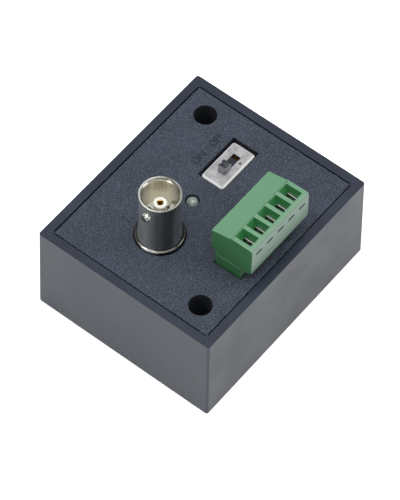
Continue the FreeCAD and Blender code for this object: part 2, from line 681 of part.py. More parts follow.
def make_jack():
    body = new_body("jack_barrel", "jack_x", "row_y", "board_top")
    section = new_sketch(body, "barrel_section", plane="XZ_Plane")
    flare = []
    for step in range(FLARE_STEPS + 1):
        turn = math.radians(90 * step / FLARE_STEPS)
        flare.append(("jack_radius + jack_flare * %.6f" % (1 - math.sin(turn)),
                      "jack_flange_height + jack_flare_height * %.6f" % (1 - math.cos(turn))))
    outline(section, [
        ("tower_radius", "0"), ("jack_flange_radius", "0"),
        ("jack_flange_radius", "jack_flange_height - jack_foot_bevel"),
        ("jack_flange_radius - jack_foot_bevel", "jack_flange_height")] + flare + [
        ("jack_radius", "jack_height"), ("jack_mouth_radius", "jack_height"),
        ("jack_mouth_radius", "jack_height - jack_mouth_depth"),
        ("jack_bore_radius",
         "jack_height - jack_mouth_depth - (jack_mouth_radius - jack_bore_radius)"),
        ("jack_bore_radius", "jack_floor"), ("tower_radius", "jack_floor")])
    revolve(body, "barrel", section)
    lugs = new_sketch(body, "lug_outline", plane="YZ_Plane")
    circle(lugs, "0", "jack_height - lug_drop", "lug_radius")
    pad(body, "bayonet_lugs", lugs, "2 * lug_reach", both=True)
    bore = new_sketch(body, "bore_outline", level="jack_height - jack_mouth_depth")
    circle(bore, "0", "0", "jack_bore_radius")
    pocket(body, "bore_clearing", bore, "jack_height - jack_mouth_depth - jack_floor")
    legs = new_sketch(body, "leg_outline")
    for side in (1, -1):
        for end in (1, -1):
            square(legs, "%d * leg_spread" % side, "%d * leg_spread" % end, "leg_width / 2")
    pad(body, "ground_legs", legs, "tail_length", back=True)

    body = new_body("jack_insulator", "jack_x", "row_y", "board_top + jack_floor")
    section = new_sketch(body, "insulator_section", plane="XZ_Plane")
    face = "(jack_height - insulator_depth - jack_floor)"
    top = "(jack_height - tower_drop - jack_floor)"
    hole = "socket_radius + fit_slack"
    rim = "jack_bore_radius - fit_slack"
    outline(section, [
        (hole, "0"), (rim, "0"), (rim, face), ("tower_radius", face), ("tower_radius", top),
        (hole, top)])
    revolve(body, "insulator", section)
    grooves = new_sketch(body, "groove_outline", level=face)
    half = "groove_width / 2"
    for sign in ("", "-"):
        near, far = (sign + "groove_inner", sign + "groove_outer")
        if sign:
            near, far = far, near
        rectangle(grooves, near, "-" + half, far, half)
        rectangle(grooves, "-" + half, near, half, far)
    pocket(body, "grooves", grooves, "groove_depth")

    body = new_body("jack_socket", "jack_x", "row_y", "board_top")
    section = new_sketch(body, "socket_section", plane="XZ_Plane")
    top = "(jack_height - tower_drop)"
    outline(section, [
        ("0", "-tail_length"), ("socket_bore - drill_slack", "-tail_length"),
        ("socket_bore - drill_slack", "jack_floor + fit_slack"),
        ("socket_radius", "jack_floor + fit_slack"), ("socket_radius", top),
        ("socket_bore", top), ("socket_bore", top + " - socket_depth"),
        ("0", top + " - socket_depth - socket_bore")])
    revolve(body, "socket", section)
    slits = new_sketch(body, "slit_outline", level=top)
    centred(slits, "socket_radius + drill_slack", "socket_slit / 2")
    pocket(body, "socket_slits", slits, "socket_slit_depth")
    slits = new_sketch(body, "cross_slit_outline", level=top)
    centred(slits, "socket_slit / 2", "socket_radius + drill_slack")
    pocket(body, "socket_cross_slits", slits, "socket_slit_depth")


# Lamp: domed lens with its flange, and two leads

def make_lamp():
    body = new_body("lamp_lens", "lamp_x", "row_y", "board_top + lamp_standoff")
    section = new_sketch(body, "lens_section", plane="XZ_Plane")
    dome = []
    for step in range(DOME_STEPS):
        turn = math.radians(90 * step / DOME_STEPS)
        dome.append(("lamp_radius * %.6f" % math.cos(turn),
                     "lamp_length - lamp_radius * %.6f" % (1 - math.sin(turn))))
    outline(section, [
        ("0", "0"), ("lamp_flange_radius", "0"), ("lamp_flange_radius", "lamp_flange_height"),
        ("lamp_radius", "lamp_flange_height")] + dome + [("0", "lamp_length")])
    revolve(body, "lens", section)
    leads = []
    for number, side in enumerate((1, -1), start=1):
        leads.append(box("lead_%d" % number, (
            "lamp_x + %d * lamp_lead_pitch / 2 - lamp_lead / 2" % side,
            "row_y - lamp_lead / 2", "board_top - tail_length"),
            ("lamp_lead", "lamp_lead", "tail_length + lamp_standoff")))
    keep(grouped("lead_pair", leads), "lamp_leads")


# Slide switch: folded steel frame, base board, terminals, bridging blades and slider

def make_switch():
    where = ("switch_x", "row_y", "board_top")
    body = new_body("switch_frame", *where)
    blank = new_sketch(body, "frame_outline", level="fit_slack")
    centred(blank, "switch_length / 2", "switch_width / 2")
    pad(body, "frame_block", blank, "switch_height - fit_slack")
    top = size("switch_height")
    soften(body, "frame_bends", "Chamfer",
           lambda edge: is_upright(edge) or lies_at(edge, top), "switch_bend")
    hollow = new_sketch(body, "frame_hollow_outline", level="plate_bottom")
    centred(hollow, "frame_inner_x", "frame_inner_y")
    pocket(body, "frame_hollow", hollow, "plate_bottom")
    slot = new_sketch(body, "frame_slot_outline", level="switch_height")
    rectangle(slot, "slot_shift - slot_length / 2", "-slot_width / 2",
              "slot_shift + slot_length / 2", "slot_width / 2")
    circle(slot, "dimple_x", "-dimple_y", "dimple_radius")
    pocket(body, "frame_slot", slot, "switch_height - plate_bottom")
    tabs = new_sketch(body, "frame_tab_outline", level="fit_slack")
    rectangle(tabs, "-switch_length / 2", "-switch_tab / 2", "-frame_inner_x",
              "switch_tab / 2")
    rectangle(tabs, "frame_inner_x", "-switch_tab / 2", "switch_length / 2",
              "switch_tab / 2")
    pad(body, "frame_tabs", tabs, "tail_length", back=True)

    body = new_body("switch_base_board", *where)
    blank = new_sketch(body, "switch_board_outline", level="switch_board_level")
    centred(blank, "frame_inner_x - 2 * fit_slack", "frame_inner_y - 2 * fit_slack")
    pad(body, "switch_board_blank", blank, "switch_board")
    holes = new_sketch(body, "switch_board_holes", level="switch_board_top")
    pins = []
    for side in (1, -1):
        for number in range(PADS_PER_ROW):
            x = "(pad_start + %d * knob_travel)" % number
            y = "(%d * switch_row / 2)" % side
            reach = "(switch_pin / 2 + fit_slack)"
            rectangle(holes, x + " - " + reach, y + " - " + reach,
                      x + " + " + reach, y + " + " + reach)
            tag = "%d_%d" % (number, side % 3)
            pin = box("pin_" + tag, (
                "switch_x + %s - switch_pin / 2" % x, "row_y + %s - switch_pin / 2" % y,
                "board_top - tail_length"),
                ("switch_pin", "switch_pin", "tail_length + switch_board_top + fit_slack"))
            head = box("head_" + tag, (
                "switch_x + %s - bridge_width / 2" % x, "row_y + %s - bridge_width / 2" % y,
                "board_top + switch_board_top"),
                ("bridge_width", "bridge_width", "switch_rivet"))
            pins.append(fused("terminal_" + tag, [pin, head]))
    pocket(body, "switch_board_slots", holes, "switch_board")
    keep(grouped("switch_terminal_set", pins), "switch_terminals")

    blades = []
    low = "(switch_board_top + switch_rivet + fit_slack)"
    high = "(carriage_bottom - fit_slack - bridge_sheet)"
    middle = "(knob_start + knob_length / 2)"
    reach = "(knob_travel / 2)"
    for number, side in enumerate((1, -1), start=1):
        blade = doc.addObject("PartDesign::Body", "blade_body_%d" % number)
        place(blade, "switch_x", "row_y + %d * switch_row / 2" % side, "board_top")
        bend = new_sketch(blade, "blade_outline_%d" % number, plane="XZ_Plane")
        left = "%s - %s" % (middle, reach)
        right = "%s + %s" % (middle, reach)
        wing = "bridge_width / 2"
        under = [(left + " - " + wing, low), (left + " + " + wing, low),
                 (middle + " - " + wing, high), (middle + " + " + wing, high),
                 (right + " - " + wing, low), (right + " + " + wing, low)]
        over = [(x, z + " + bridge_sheet") for x, z in reversed(under)]
        outline(bend, under + over)
        pad(blade, "blade_%d" % number, bend, "bridge_width", both=True)
        blades.append(blade)
    keep(grouped("switch_blade_pair", blades), "switch_blades")

    body = new_body("switch_slider", *where)
    plate = new_sketch(body, "carriage_outline", level="carriage_bottom")
    rectangle(plate, "carriage_end - carriage_length", "-carriage_width / 2",
              "carriage_end", "carriage_width / 2")
    pad(body, "carriage", plate, "carriage_height")
    side_view = new_sketch(body, "knob_outline", plane="XZ_Plane")
    top = "(switch_height + knob_height)"
    valley = "(%s - knob_groove)" % top
    end = "(knob_start + knob_length)"
    ridge_end = "(knob_start + knob_ridge)"
    second = "(%s + 2 * knob_slope + knob_valley)" % ridge_end
    outline(side_view, [
        ("knob_start", "carriage_bottom + carriage_height / 2"), ("knob_start", top),
        (ridge_end, top), (ridge_end + " + knob_slope", valley),
        (second + " - knob_slope", valley), (second, top),
        (second + " + knob_ridge", top), (end, top + " - knob_shoulder"),
        (end, "carriage_bottom + carriage_height / 2")])
    pad(body, "knob", side_view, "knob_width", both=True)


# Wire terminal: header on the board, plug with its contacts, clamp screws and cages

def make_header():
    body = new_body("terminal_header", "terminal_x", "terminal_y", "board_top")
    blank = new_sketch(body, "header_outline")
    centred(blank, "plug_half", "header_depth / 2")
    pad(body, "header_block", blank, "header_height")
    mouth = new_sketch(body, "header_mouth", level="header_height")
    centred(mouth, "plug_half - header_wall", "header_depth / 2 - header_wall")
    pocket(body, "header_cavity", mouth, "header_height - header_floor")
    holes = new_sketch(body, "header_pin_holes", level="header_floor")
    for pole in range(POLES):
        x = "(first_pole + %d * pole_pitch)" % pole
        half = "(pin_size / 2 + fit_slack)"
        rectangle(holes, x + " - " + half, "-" + half, x + " + " + half, half)
    pocket(body, "header_holes", holes, "header_floor")
    for pole in range(POLES):
        pin = box("header_pin_%d" % (pole + 1), (
            "terminal_x + first_pole + %d * pole_pitch - pin_size / 2" % pole,
            "terminal_y - pin_size / 2", "board_top - tail_length"),
            ("pin_size", "pin_size", "tail_length + pin_height"))
        keep(pin, "header_pin_%d" % (pole + 1))


def make_plug():
    body = new_body("terminal_plug", "terminal_x", "terminal_y", "shroud_top")
    side_view = new_sketch(body, "plug_outline", plane="YZ_Plane")
    outline(side_view, [
        ("-header_depth / 2", "plug_lift"), ("plug_toe - plug_front", "plug_lift + plug_toe_low"),
        ("-plug_front", "plug_lift + plug_toe_high"), ("-plug_front", "plug_height - plug_brow"),
        ("plug_brow_depth - plug_front", "plug_height"), ("entry_back", "entry_top"),
        ("entry_back + step_run", "entry_top - step_fall"), ("plug_back", "plug_back_height"),
        ("plug_back", "plug_lift + plug_heel_high"),
        ("plug_back - plug_heel", "plug_lift + plug_heel_low"),
        ("header_depth / 2", "plug_lift")])
    pad(body, "plug_block", side_view, "2 * plug_half", both=True)
    nose = new_sketch(body, "nose_outline", level="plug_lift + nose_root")
    centred(nose, "plug_half - header_wall - plug_gap", "nose_half_y")
    pad(body, "plug_nose", nose, "nose_length + nose_root", back=True)

    funnel = new_sketch(body, "funnel_outline", plane="YZ_Plane", level="first_pole")
    outline(funnel, [
        ("entry_front", "chamber_high"), ("bar_front", "chamber_high"),
        ("entry_back", "entry_top"), ("entry_back", "plug_height + over_cut"),
        ("entry_front", "plug_height + over_cut")])
    entry = pocket(body, "wire_entry", funnel, "entry_width", both=True)
    inside = new_sketch(body, "chamber_outline", plane="YZ_Plane", level="first_pole")
    rectangle(inside, "chamber_front", "chamber_low", "chamber_back", "chamber_high")
    chamber = pocket(body, "clamp_chamber", inside, "chamber_width", both=True)
    head = new_sketch(body, "head_bore_outline", plane="XZ_Plane", level="-plug_back")
    circle(head, "first_pole", "clamp_level", "head_radius + head_slack")
    head_bore = pocket(body, "head_bore", head, "head_sink + head_height + fit_slack",
                       back=True)
    shank = new_sketch(body, "shank_bore_outline", plane="XZ_Plane", level="-head_bottom")
    circle(shank, "first_pole", "clamp_level", "screw_radius + thread_slack")
    shank_bore = pocket(body, "shank_bore", shank, "head_bottom - chamber_back + fit_slack",
                        back=True)
    well = new_sketch(body, "spring_well_outline", level="plug_lift - nose_length")
    rectangle(well, "first_pole - spring_width / 2 - spring_slack",
              "bar_front - spring_slack",
              "first_pole + spring_width / 2 + spring_slack",
              "spring_depth / 2 + spring_slack")
    spring_well = pocket(body, "spring_well", well,
                         "chamber_low + nose_length - plug_lift + fit_slack", back=True)
    slit = new_sketch(body, "front_slit_outline", plane="XZ_Plane", level="plug_front")
    rectangle(slit, "first_pole - slit_width / 2", "slit_level - slit_height / 2",
              "first_pole + slit_width / 2", "slit_level + slit_height / 2")
    front_slit = pocket(body, "front_slit", slit, "slit_depth")
    in_row(body, "poles", [entry, chamber, head_bore, shank_bore, spring_well,
                           front_slit], "pole_pitch", POLES)


def make_clamp(number):
    """Make the contact, screw and cage of one pole."""
    x = "terminal_x + first_pole + %d * pole_pitch" % (number - 1)
    where = (x, "terminal_y", "shroud_top")

    body = new_body("plug_contact_%d" % number, *where)
    socket = new_sketch(body, "spring_outline_%d" % number,
                        level="plug_lift - nose_length + 2 * fit_slack")
    centred(socket, "spring_width / 2", "spring_depth / 2")
    pad(body, "spring_%d" % number, socket,
        "spring_top - plug_lift + nose_length - 2 * fit_slack")
    hole = new_sketch(body, "spring_hole_%d" % number, level="spring_top")
    grip = "pin_size / 2 + thread_slack"
    centred(hole, grip, grip)
    pocket(body, "spring_bore_%d" % number, hole,
           "spring_top - plug_lift + nose_length - 2 * fit_slack")
    bar = new_sketch(body, "bar_outline_%d" % number, level="plug_lift")
    rectangle(bar, "-bar_width / 2", "bar_front", "bar_width / 2", "bar_back + fit_slack / 2")
    pad(body, "bar_%d" % number, bar, "cage_high - plug_lift")

    body = new_body("clamp_screw_%d" % number, *where)
    place(body, x, "terminal_y", "shroud_top + clamp_level")
    head = new_sketch(body, "head_outline_%d" % number, plane="XZ_Plane",
                      level="-head_bottom")
    circle(head, "0", "0", "head_radius")
    pad(body, "head_%d" % number, head, "head_height", back=True)
    shank = new_sketch(body, "shank_outline_%d" % number, plane="XZ_Plane",
                       level="-head_bottom")
    circle(shank, "0", "0", "screw_radius")
    pad(body, "shank_%d" % number, shank, "head_bottom - bar_back - cage_slack")
    slot = new_sketch(body, "drive_outline_%d" % number, plane="XZ_Plane",
                      level="-head_top")
    centred(slot, "head_radius + over_cut", "drive_slot / 2")
    pocket(body, "drive_%d" % number, slot, "head_height / 2", back=True)

    body = new_body("clamp_cage_%d" % number, *where)
    block = new_sketch(body, "cage_outline_%d" % number, level="cage_low")
    rectangle(block, "-cage_width / 2", "cage_front", "cage_width / 2", "cage_thread_back")
    pad(body, "cage_%d" % number, block, "cage_high - cage_low")
    hollow = new_sketch(body, "cage_hollow_%d" % number, level="cage_high")
    inner = "(cage_width / 2 - cage_side)"
    rectangle(hollow, "-" + inner, "cage_front + cage_jaw", inner, "cage_thread_front")
    pocket(body, "cage_window_%d" % number, hollow, "cage_high - cage_low")
    thread = new_sketch(body, "cage_thread_%d" % number, plane="XZ_Plane",
                        level="-cage_thread_back")
    circle(thread, "0", "clamp_level", "screw_radius + thread_slack")
    pocket(body, "cage_bore_%d" % number, thread, "cage_thread_wall + cage_slack",
           back=True)


# Board parts: amplifier, regulator, diode and chips above, tall parts below

def make_board_parts():
    blocks = [box("amplifier_body", (
        "-amplifier_length / 2", "amplifier_y - amplifier_width / 2",
        "board_top + amplifier_lift"),
        ("amplifier_length", "amplifier_width", "amplifier_height"))]
    for number in range(AMPLIFIER_LEADS):
        middle = (number + 0.5) / AMPLIFIER_LEADS - 0.5
        blocks.append(box("amplifier_leads_%d" % number, (
            "%.6f * amplifier_length - amplifier_lead / 2" % middle,
            "amplifier_y - amplifier_width / 2 - amplifier_lead_reach", "board_top"),
            ("amplifier_lead", "amplifier_width + 2 * amplifier_lead_reach",
             "amplifier_lead_sheet")))
    keep(fused("amplifier_fuse", blocks), "amplifier_chip")

    regulator = fused("regulator_fuse", [
        box("regulator_body", (
            "regulator_x - regulator_length / 2", "regulator_y - regulator_width / 2",
            "board_top"), ("regulator_length", "regulator_width", "regulator_height")),
        box("regulator_tab", (
            "regulator_x - regulator_tab / 2", "regulator_y - regulator_width",
            "board_top"), ("regulator_tab", "2 * regulator_width", "regulator_tab_sheet"))])
    keep(regulator, "voltage_regulator")

    diode = fused("diode_fuse", [
        box("diode_body", (
            "diode_x - diode_length / 2", "diode_y - diode_width / 2", "board_top"),
            ("diode_length", "diode_width", "diode_height")),
        box("diode_leads", (
            "diode_x - diode_length / 2 - diode_lead_reach", "diode_y - diode_lead / 2",
            "board_top"),
            ("diode_length + 2 * diode_lead_reach", "diode_lead", "diode_lead_sheet"))])
    keep(diode, "supply_diode")

    for label, row in (("chip_resistors", "chip_y"), ("chip_capacitors", "chip_y - chip_pitch")):
        chips = []
        for number in range(CHIPS):
            chips.append(box("%s_%d" % (label, number), (
                "%s * chip_pitch - chip_x - chip_length / 2" % (number - (CHIPS - 1) / 2),
                row + " - chip_width / 2",
                "board_top"), ("chip_length", "chip_width", "chip_height")))
        keep(grouped(label + "_set", chips), label)

    for number, side in enumerate((1, -1), start=1):
        x = "(%d * capacitor_x)" % side
        y = "(%d * capacitor_y)" % -side
        can = cylinder("can_%d" % number, (
            x, y, "board_bottom - capacitor_length"), "capacitor_radius",
            "capacitor_length - capacitor_base_height / 2")
        foot = box("can_foot_%d" % number, (
            x + " - capacitor_base / 2", y + " - capacitor_base / 2",
            "board_bottom - capacitor_base_height"),
            ("capacitor_base", "capacitor_base", "capacitor_base_height"))
        keep(fused("can_fuse_%d" % number, [can, foot]), "smoothing_capacitor_%d" % number)

    body = new_body("line_choke", "0", "choke_y", "board_bottom")
    section = new_sketch(body, "choke_section", plane="XZ_Plane")
    low = "-choke_foot - choke_height"
    outline(section, [
        ("0", "0"), ("choke_radius", "0"), ("choke_radius", low), ("choke_bore", low),
        ("choke_bore", "-choke_foot"), ("0", "-choke_foot")])
    revolve(body, "choke_ring", section)

    for number, side in enumerate((1, -1), start=1):
        start = "(%d * arrester_x - arrester_length / 2)" % side
        tube = cylinder("arrester_tube_%d" % number, (
            start, "arrester_y", "board_bottom - arrester_radius"),
            "arrester_radius - drill_slack", "arrester_length")
        tube.Placement.Rotation = FreeCAD.Rotation(FreeCAD.Vector(0, 1, 0), 90)
        bands = []
        for end, x in enumerate((start, start + " + arrester_length - arrester_band")):
            bands.append(box("arrester_band_%d_%d" % (number, end), (
                x, "arrester_y - arrester_radius", "board_bottom - 2 * arrester_radius"),
                ("arrester_band", "2 * arrester_radius", "2 * arrester_radius")))
        keep(fused("arrester_fuse_%d" % number, [tube] + bands),
             "surge_arrester_%d" % number)


make_case()
make_lid()
make_board()
make_jack()
make_lamp()
make_switch()
make_header()
make_plug()
for pole in range(1, POLES + 1):
    make_clamp(pole)
make_board_parts()
doc.recompute()

for item in doc.Objects:
    if "Invalid" in item.State or "Error" in item.State:
        raise ValueError("%s did not compute: %s" % (item.Name, item.State))
for item in sub_parts:
    if item.Shape.isNull() or not item.Shape.isValid():
        raise ValueError("%s has no sound shape" % item.Label)

os.makedirs("parts", exist_ok=True)
for item in sub_parts:
    item.Shape.exportStep("parts/%s.step" % item.Label)
    box_ = item.Shape.BoundBox
    print("%-24s solids %d volume %9.2f  x %.2f..%.2f y %.2f..%.2f z %.2f..%.2f" % (
        item.Label, len(item.Shape.Solids), item.Shape.Volume, box_.XMin, box_.XMax,
        box_.YMin, box_.YMax, box_.ZMin, box_.ZMax))
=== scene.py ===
"""Looks of a small dark terminal box with a bayonet jack, a lamp, a slide switch and a green plug."""
import json
import logging
import math
from collections.abc import Callable, Iterator, Sequence
from contextlib import contextmanager
from dataclasses import dataclass, field
from enum import Enum

import bmesh
import bpy
from mathutils import Matrix, Quaternion, Vector

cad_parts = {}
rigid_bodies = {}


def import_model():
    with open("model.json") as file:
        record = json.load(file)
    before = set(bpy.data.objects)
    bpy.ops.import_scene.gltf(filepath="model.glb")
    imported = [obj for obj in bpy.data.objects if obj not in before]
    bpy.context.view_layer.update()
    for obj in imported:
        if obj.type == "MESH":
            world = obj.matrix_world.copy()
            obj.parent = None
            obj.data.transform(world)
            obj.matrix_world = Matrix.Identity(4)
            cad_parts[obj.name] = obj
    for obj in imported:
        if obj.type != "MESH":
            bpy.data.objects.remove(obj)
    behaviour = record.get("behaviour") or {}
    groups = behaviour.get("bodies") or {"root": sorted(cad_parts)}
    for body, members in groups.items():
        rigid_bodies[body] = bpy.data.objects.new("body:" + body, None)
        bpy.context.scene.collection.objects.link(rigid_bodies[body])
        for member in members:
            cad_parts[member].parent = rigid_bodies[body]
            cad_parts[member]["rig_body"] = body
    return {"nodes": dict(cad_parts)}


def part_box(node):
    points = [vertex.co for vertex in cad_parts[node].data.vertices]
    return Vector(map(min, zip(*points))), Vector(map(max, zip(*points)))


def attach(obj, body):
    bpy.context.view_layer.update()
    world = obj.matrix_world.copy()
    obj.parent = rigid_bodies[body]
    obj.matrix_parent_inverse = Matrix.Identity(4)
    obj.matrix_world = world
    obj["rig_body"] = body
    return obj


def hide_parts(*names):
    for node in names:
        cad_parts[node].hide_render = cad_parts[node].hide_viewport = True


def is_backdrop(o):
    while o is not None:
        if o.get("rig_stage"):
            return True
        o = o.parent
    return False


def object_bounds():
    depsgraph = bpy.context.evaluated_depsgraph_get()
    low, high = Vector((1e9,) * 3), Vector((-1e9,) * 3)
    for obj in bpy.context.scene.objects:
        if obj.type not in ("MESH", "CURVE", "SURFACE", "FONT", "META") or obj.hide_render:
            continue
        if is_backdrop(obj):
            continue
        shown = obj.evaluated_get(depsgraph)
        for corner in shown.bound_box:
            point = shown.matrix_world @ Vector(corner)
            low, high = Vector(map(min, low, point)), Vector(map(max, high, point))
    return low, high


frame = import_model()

CAD_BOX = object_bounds()
LOG = logging.getLogger("terminal_box")
MM = 0.001

# Places in metres, and the colour of the painted shade in the wells, that several finishes need
POLES = 5
FIRST_POLE = -7.02 * MM
POLE_PITCH = 3.81 * MM
JACK_AXIS = (-11.3 * MM, 3.1 * MM)
WELL_PLACE = (20.4 * MM, 15.5 * MM)
WELL_RADIUS = 2.95 * MM
WELL_TOP = 26.45 * MM
WELL_SHADE = (0.005, 0.007, 0.01)

# Limits of a cloud pattern's values, with and without its rarer ones
WIDE = (0.3, 0.7)
NARROW = (0.35, 0.65)
# Component of a face's normal at which it starts to count as facing an axis, and fully does
FACE = (0.5, 0.9)
# Largest component of the shaded normal at the start and in the middle of a rounded edge
EDGE_LEAN = (0.9, 0.85)
EVEN_SCATTER = (0.8, 0.8, 0.8)

# Meshing: merging distance in metres, and angles in degrees
MERGE = 1e-6
FLAT_ANGLE = 0.5
SHARP_ANGLE = 35.0
MOULDED_ANGLE = 32.0
TURNED_ANGLE = 28.0
WINDING_ANGLE = 60.0
NORMAL_WEIGHT = 80

Colour = tuple[float, float, float]
Place = tuple[float, float, float]
Point = tuple[float, float]
Span = tuple[float, ...]
Socket = bpy.types.NodeSocket


class Body(Enum):
    """The rigid bodies that pieces ride on."""

    CASE = "case"
    KNOB = "switch_knob"
    PLUG = "plug"


# Node trees

class Value:
    """A number that nodes work out, for use in formulas."""

    def __init__(self, net: "Network", socket: Socket) -> None:
        """Hold an output socket and the network that it is in."""
        self.net = net
        self.socket = socket

    def math(self, operation: str, other: object = 0.0) -> "Value":
        """Work out this value and another with one arithmetic node.

        Args:
            operation: The node's operation.
            other: Second value, where the operation takes one.

        Returns:
            The result.
        """
        node = self.net.tree.nodes.new("ShaderNodeMath")
        node.operation = operation
        self.net.feed(node.inputs[0], self)
        self.net.feed(node.inputs[1], other)
        return Value(self.net, node.outputs[0])

    def __add__(self, other: object) -> "Value":
        """Return the sum."""
        return self.math("ADD", other)

    def __sub__(self, other: object) -> "Value":
        """Return the difference."""
        return self.math("SUBTRACT", other)

    def __mul__(self, other: object) -> "Value":
        """Return the product."""
        return self.math("MULTIPLY", other)

    def __or__(self, other: object) -> "Value":
        """Return the larger of two values."""
        return self.math("MAXIMUM", other)

    def __gt__(self, limit: object) -> "Value":
        """Return 1 above a limit and 0 elsewhere."""
        return self.math("GREATER_THAN", limit)

    def __lt__(self, limit: object) -> "Value":
        """Return 1 below a limit and 0 elsewhere."""
        return self.math("LESS_THAN", limit)

    def __abs__(self) -> "Value":
        """Return the value without its sign."""
        return self.math("ABSOLUTE")

    def nearest(self, pitch: float) -> "Value":
        """Return the distance from the nearest whole number of pitches."""
        return self.math("PINGPONG", pitch / 2)

    def within(self, low: float, high: float) -> "Value":
        """Return 1 between two limits and 0 elsewhere."""
        return (self > low) * (self < high)

    def ramp(self, start: float, end: float, low: float = 0.0, high: float = 1.0) -> "Value":
        """Return start..end mapped to low..high and clamped."""
        return self.net.read("MapRange", "Result", Value=self, From_Min=start, From_Max=end,
                             To_Min=low, To_Max=high)


class Network:
    """A node tree while it is being built."""

    prefix = "ShaderNode"

    def __init__(self, tree: bpy.types.NodeTree) -> None:
        """Empty a tree and start on it."""
        self.tree = tree
        tree.nodes.clear()

    def feed(self, target: Socket, value: object) -> None:
        """Link something to an input socket, or set the socket's own value.

        Args:
            target: Input socket.
            value: A node, whose first output counts, an output, a worked-out value, a number or
                a colour.
        """
        if isinstance(value, bpy.types.Node):
            value = value.outputs[0]
        elif isinstance(value, Value):
            value = value.socket
        if isinstance(value, bpy.types.NodeSocket):
            self.tree.links.new(value, target)
        elif isinstance(value, tuple) and target.type == "RGBA":
            target.default_value = (*value, 1.0)
        else:
            target.default_value = value

    def fill(self, node: bpy.types.Node, inputs: dict[str, object]) -> None:
        """Feed a node's inputs, with underscores for the spaces in their names."""
        for label, value in inputs.items():
            self.feed(node.inputs[label.replace("_", " ")], value)

    def add(self, kind: str, **inputs: object) -> bpy.types.Node:
        """Add a node and feed its inputs.

        Args:
            kind: The node's type without its prefix.
            inputs: What its inputs get, with underscores for the spaces in their names.

        Returns:
            The node.
        """
        node = self.tree.nodes.new(self.prefix + kind)
        self.fill(node, inputs)
        return node

    def read(self, kind: str, output: str, **inputs: object) -> Value:
        """Add a node and return one of its outputs for use in formulas."""
        return Value(self, self.add(kind, **inputs).outputs[output])

    def part(self, vector: object, letter: str) -> Value:
        """Return one component of a vector."""
        return self.read("SeparateXYZ", letter, Vector=vector)


# Materials

class Painter(Network):
    """One node material round a principled shader, while it is being built."""

    def __init__(self, name: str) -> None:
        """Start an empty material.

        Args:
            name: Name of the material.
        """
        self.material = bpy.data.materials.new(name)
        self.material.use_nodes = True
        super().__init__(self.material.node_tree)
        self.shader = self.add("BsdfPrincipled")
        self.add("OutputMaterial", Surface=self.shader)
        self.place = self.add("TexCoord").outputs["Object"]
        self.normal: Socket | None = None

    def set(self, **values: object) -> None:
        """Feed the shader's inputs, with underscores for the spaces in their names."""
        self.fill(self.shader, values)

    def fed(self, name: str) -> Value:
        """Return what feeds one of the shader's inputs."""
        return Value(self, self.shader.inputs[name].links[0].from_socket)

    def mix(self, share: object, first: object, second: object) -> Socket:
        """Mix two colours.

        Args:
            share: Share of the second.
            first: A colour.
            second: A colour.

        Returns:
            The mixed colour.
        """
        node = self.add("Mix")
        node.data_type = "RGBA"
        self.feed(node.inputs["Factor"], share)
        for socket in node.inputs:
            if socket.type == "RGBA":
                self.feed(socket, first if socket.name == "A" else second)
        return next(item for item in node.outputs if item.type == "RGBA")

    def cover(self, share: object, colour: object) -> None:
        """Lay a colour over the base colour, as far as a share says."""
        self.set(Base_Color=self.mix(share, self.fed("Base Color"), colour))

    def noise(self, grain: float, detail: float = 2.0, roughness: float = 0.6,
              stretch: Place | None = None, warp: float = 0.0) -> Value:
        """Add a cloud pattern.

        Args:
            grain: Width of its features in metres.
            detail: Octaves.
            roughness: Weight of the finer octaves.
            stretch: Scale along each axis, if it isn't even.
            warp: Distortion.

        Returns:
            Its value, about 0.25 to 0.75.
        """
        place = self.add("Mapping", Vector=self.place, Scale=stretch) if stretch else self.place
        return self.read("TexNoise", "Fac", Vector=place, Scale=1.0 / grain, Detail=detail,
                         Roughness=roughness, Distortion=warp)

    def cells(self, grain: float) -> Value:
        """Return the distance to the nearest of scattered points about a grain apart."""
        return self.read("TexVoronoi", "Distance", Vector=self.place, Scale=1.0 / grain)

    def axis(self, letter: str) -> Value:
        """Return one object coordinate in metres."""
        return self.part(self.place, letter)

    def radius(self, centre: Point) -> Value:
        """Return the distance from an upright axis through a point in X and Y."""
        across, away = self.axis("X") - centre[0], self.axis("Y") - centre[1]
        return (across * across + away * away).math("SQRT")

    def along(self, direction: Point, centre: Point) -> Value:
        """Return the distance from a point in X and Y, measured along a level direction."""
        across, away = self.axis("X") - centre[0], self.axis("Y") - centre[1]
        return across * direction[0] + away * direction[1]

    def from_pole(self) -> Value:
        """Return the distance in X from the nearest pole of the terminal."""
        return (self.axis("X") - FIRST_POLE).nearest(POLE_PITCH)

    def region(self, low: Place, high: Place) -> Value:
        """Return 1 inside a box between two corners and 0 elsewhere."""
        sides = [self.axis(letter).within(*ends) for letter, *ends in zip("XYZ", low, high)]
        return sides[0] * sides[1] * sides[2]

    def in_wells(self) -> Value:
        """Return 1 inside the two fixing wells, below the lid's top, and 0 elsewhere."""
        side = self.axis("X").math("SIGN")
        across, away = self.axis("X") * side - WELL_PLACE[0], self.axis("Y") * side - WELL_PLACE[1]
        return (across * across + away * away < WELL_RADIUS ** 2) * (self.axis("Z") < WELL_TOP)

    def facing(self, letter: str, sign: int, start: float = FACE[0], end: float = FACE[1]) -> Value:
        """Return 0 to 1 as a face's normal, along one axis or against it, goes from start to end."""
        normal = self.add("NewGeometry").outputs["True Normal"]
        return self.part(normal, letter).ramp(sign * start, sign * end)

    def leaning(self) -> Value:
        """Return 1 where the shaded normal leans far from every axis, as on a rounded edge."""
        normal = self.add("NewGeometry").outputs["Normal"]
        sides = [abs(self.part(normal, letter)) for letter in "XYZ"]
        return (sides[0] | sides[1] | sides[2]).ramp(*EDGE_LEAN)

    def bump(self, height: Value, depth: float) -> None:
        """Raise the surface by a height pattern, on top of earlier ones.

        Args:
            height: Pattern of 0 to 1.
            depth: Real height of 1, in metres.
        """
        node = self.add("Bump", Strength=1.0, Distance=depth, Height=height)
        if self.normal is not None:
            self.feed(node.inputs["Normal"], self.normal)
        self.normal = node.outputs["Normal"]
        self.set(Normal=self.normal)


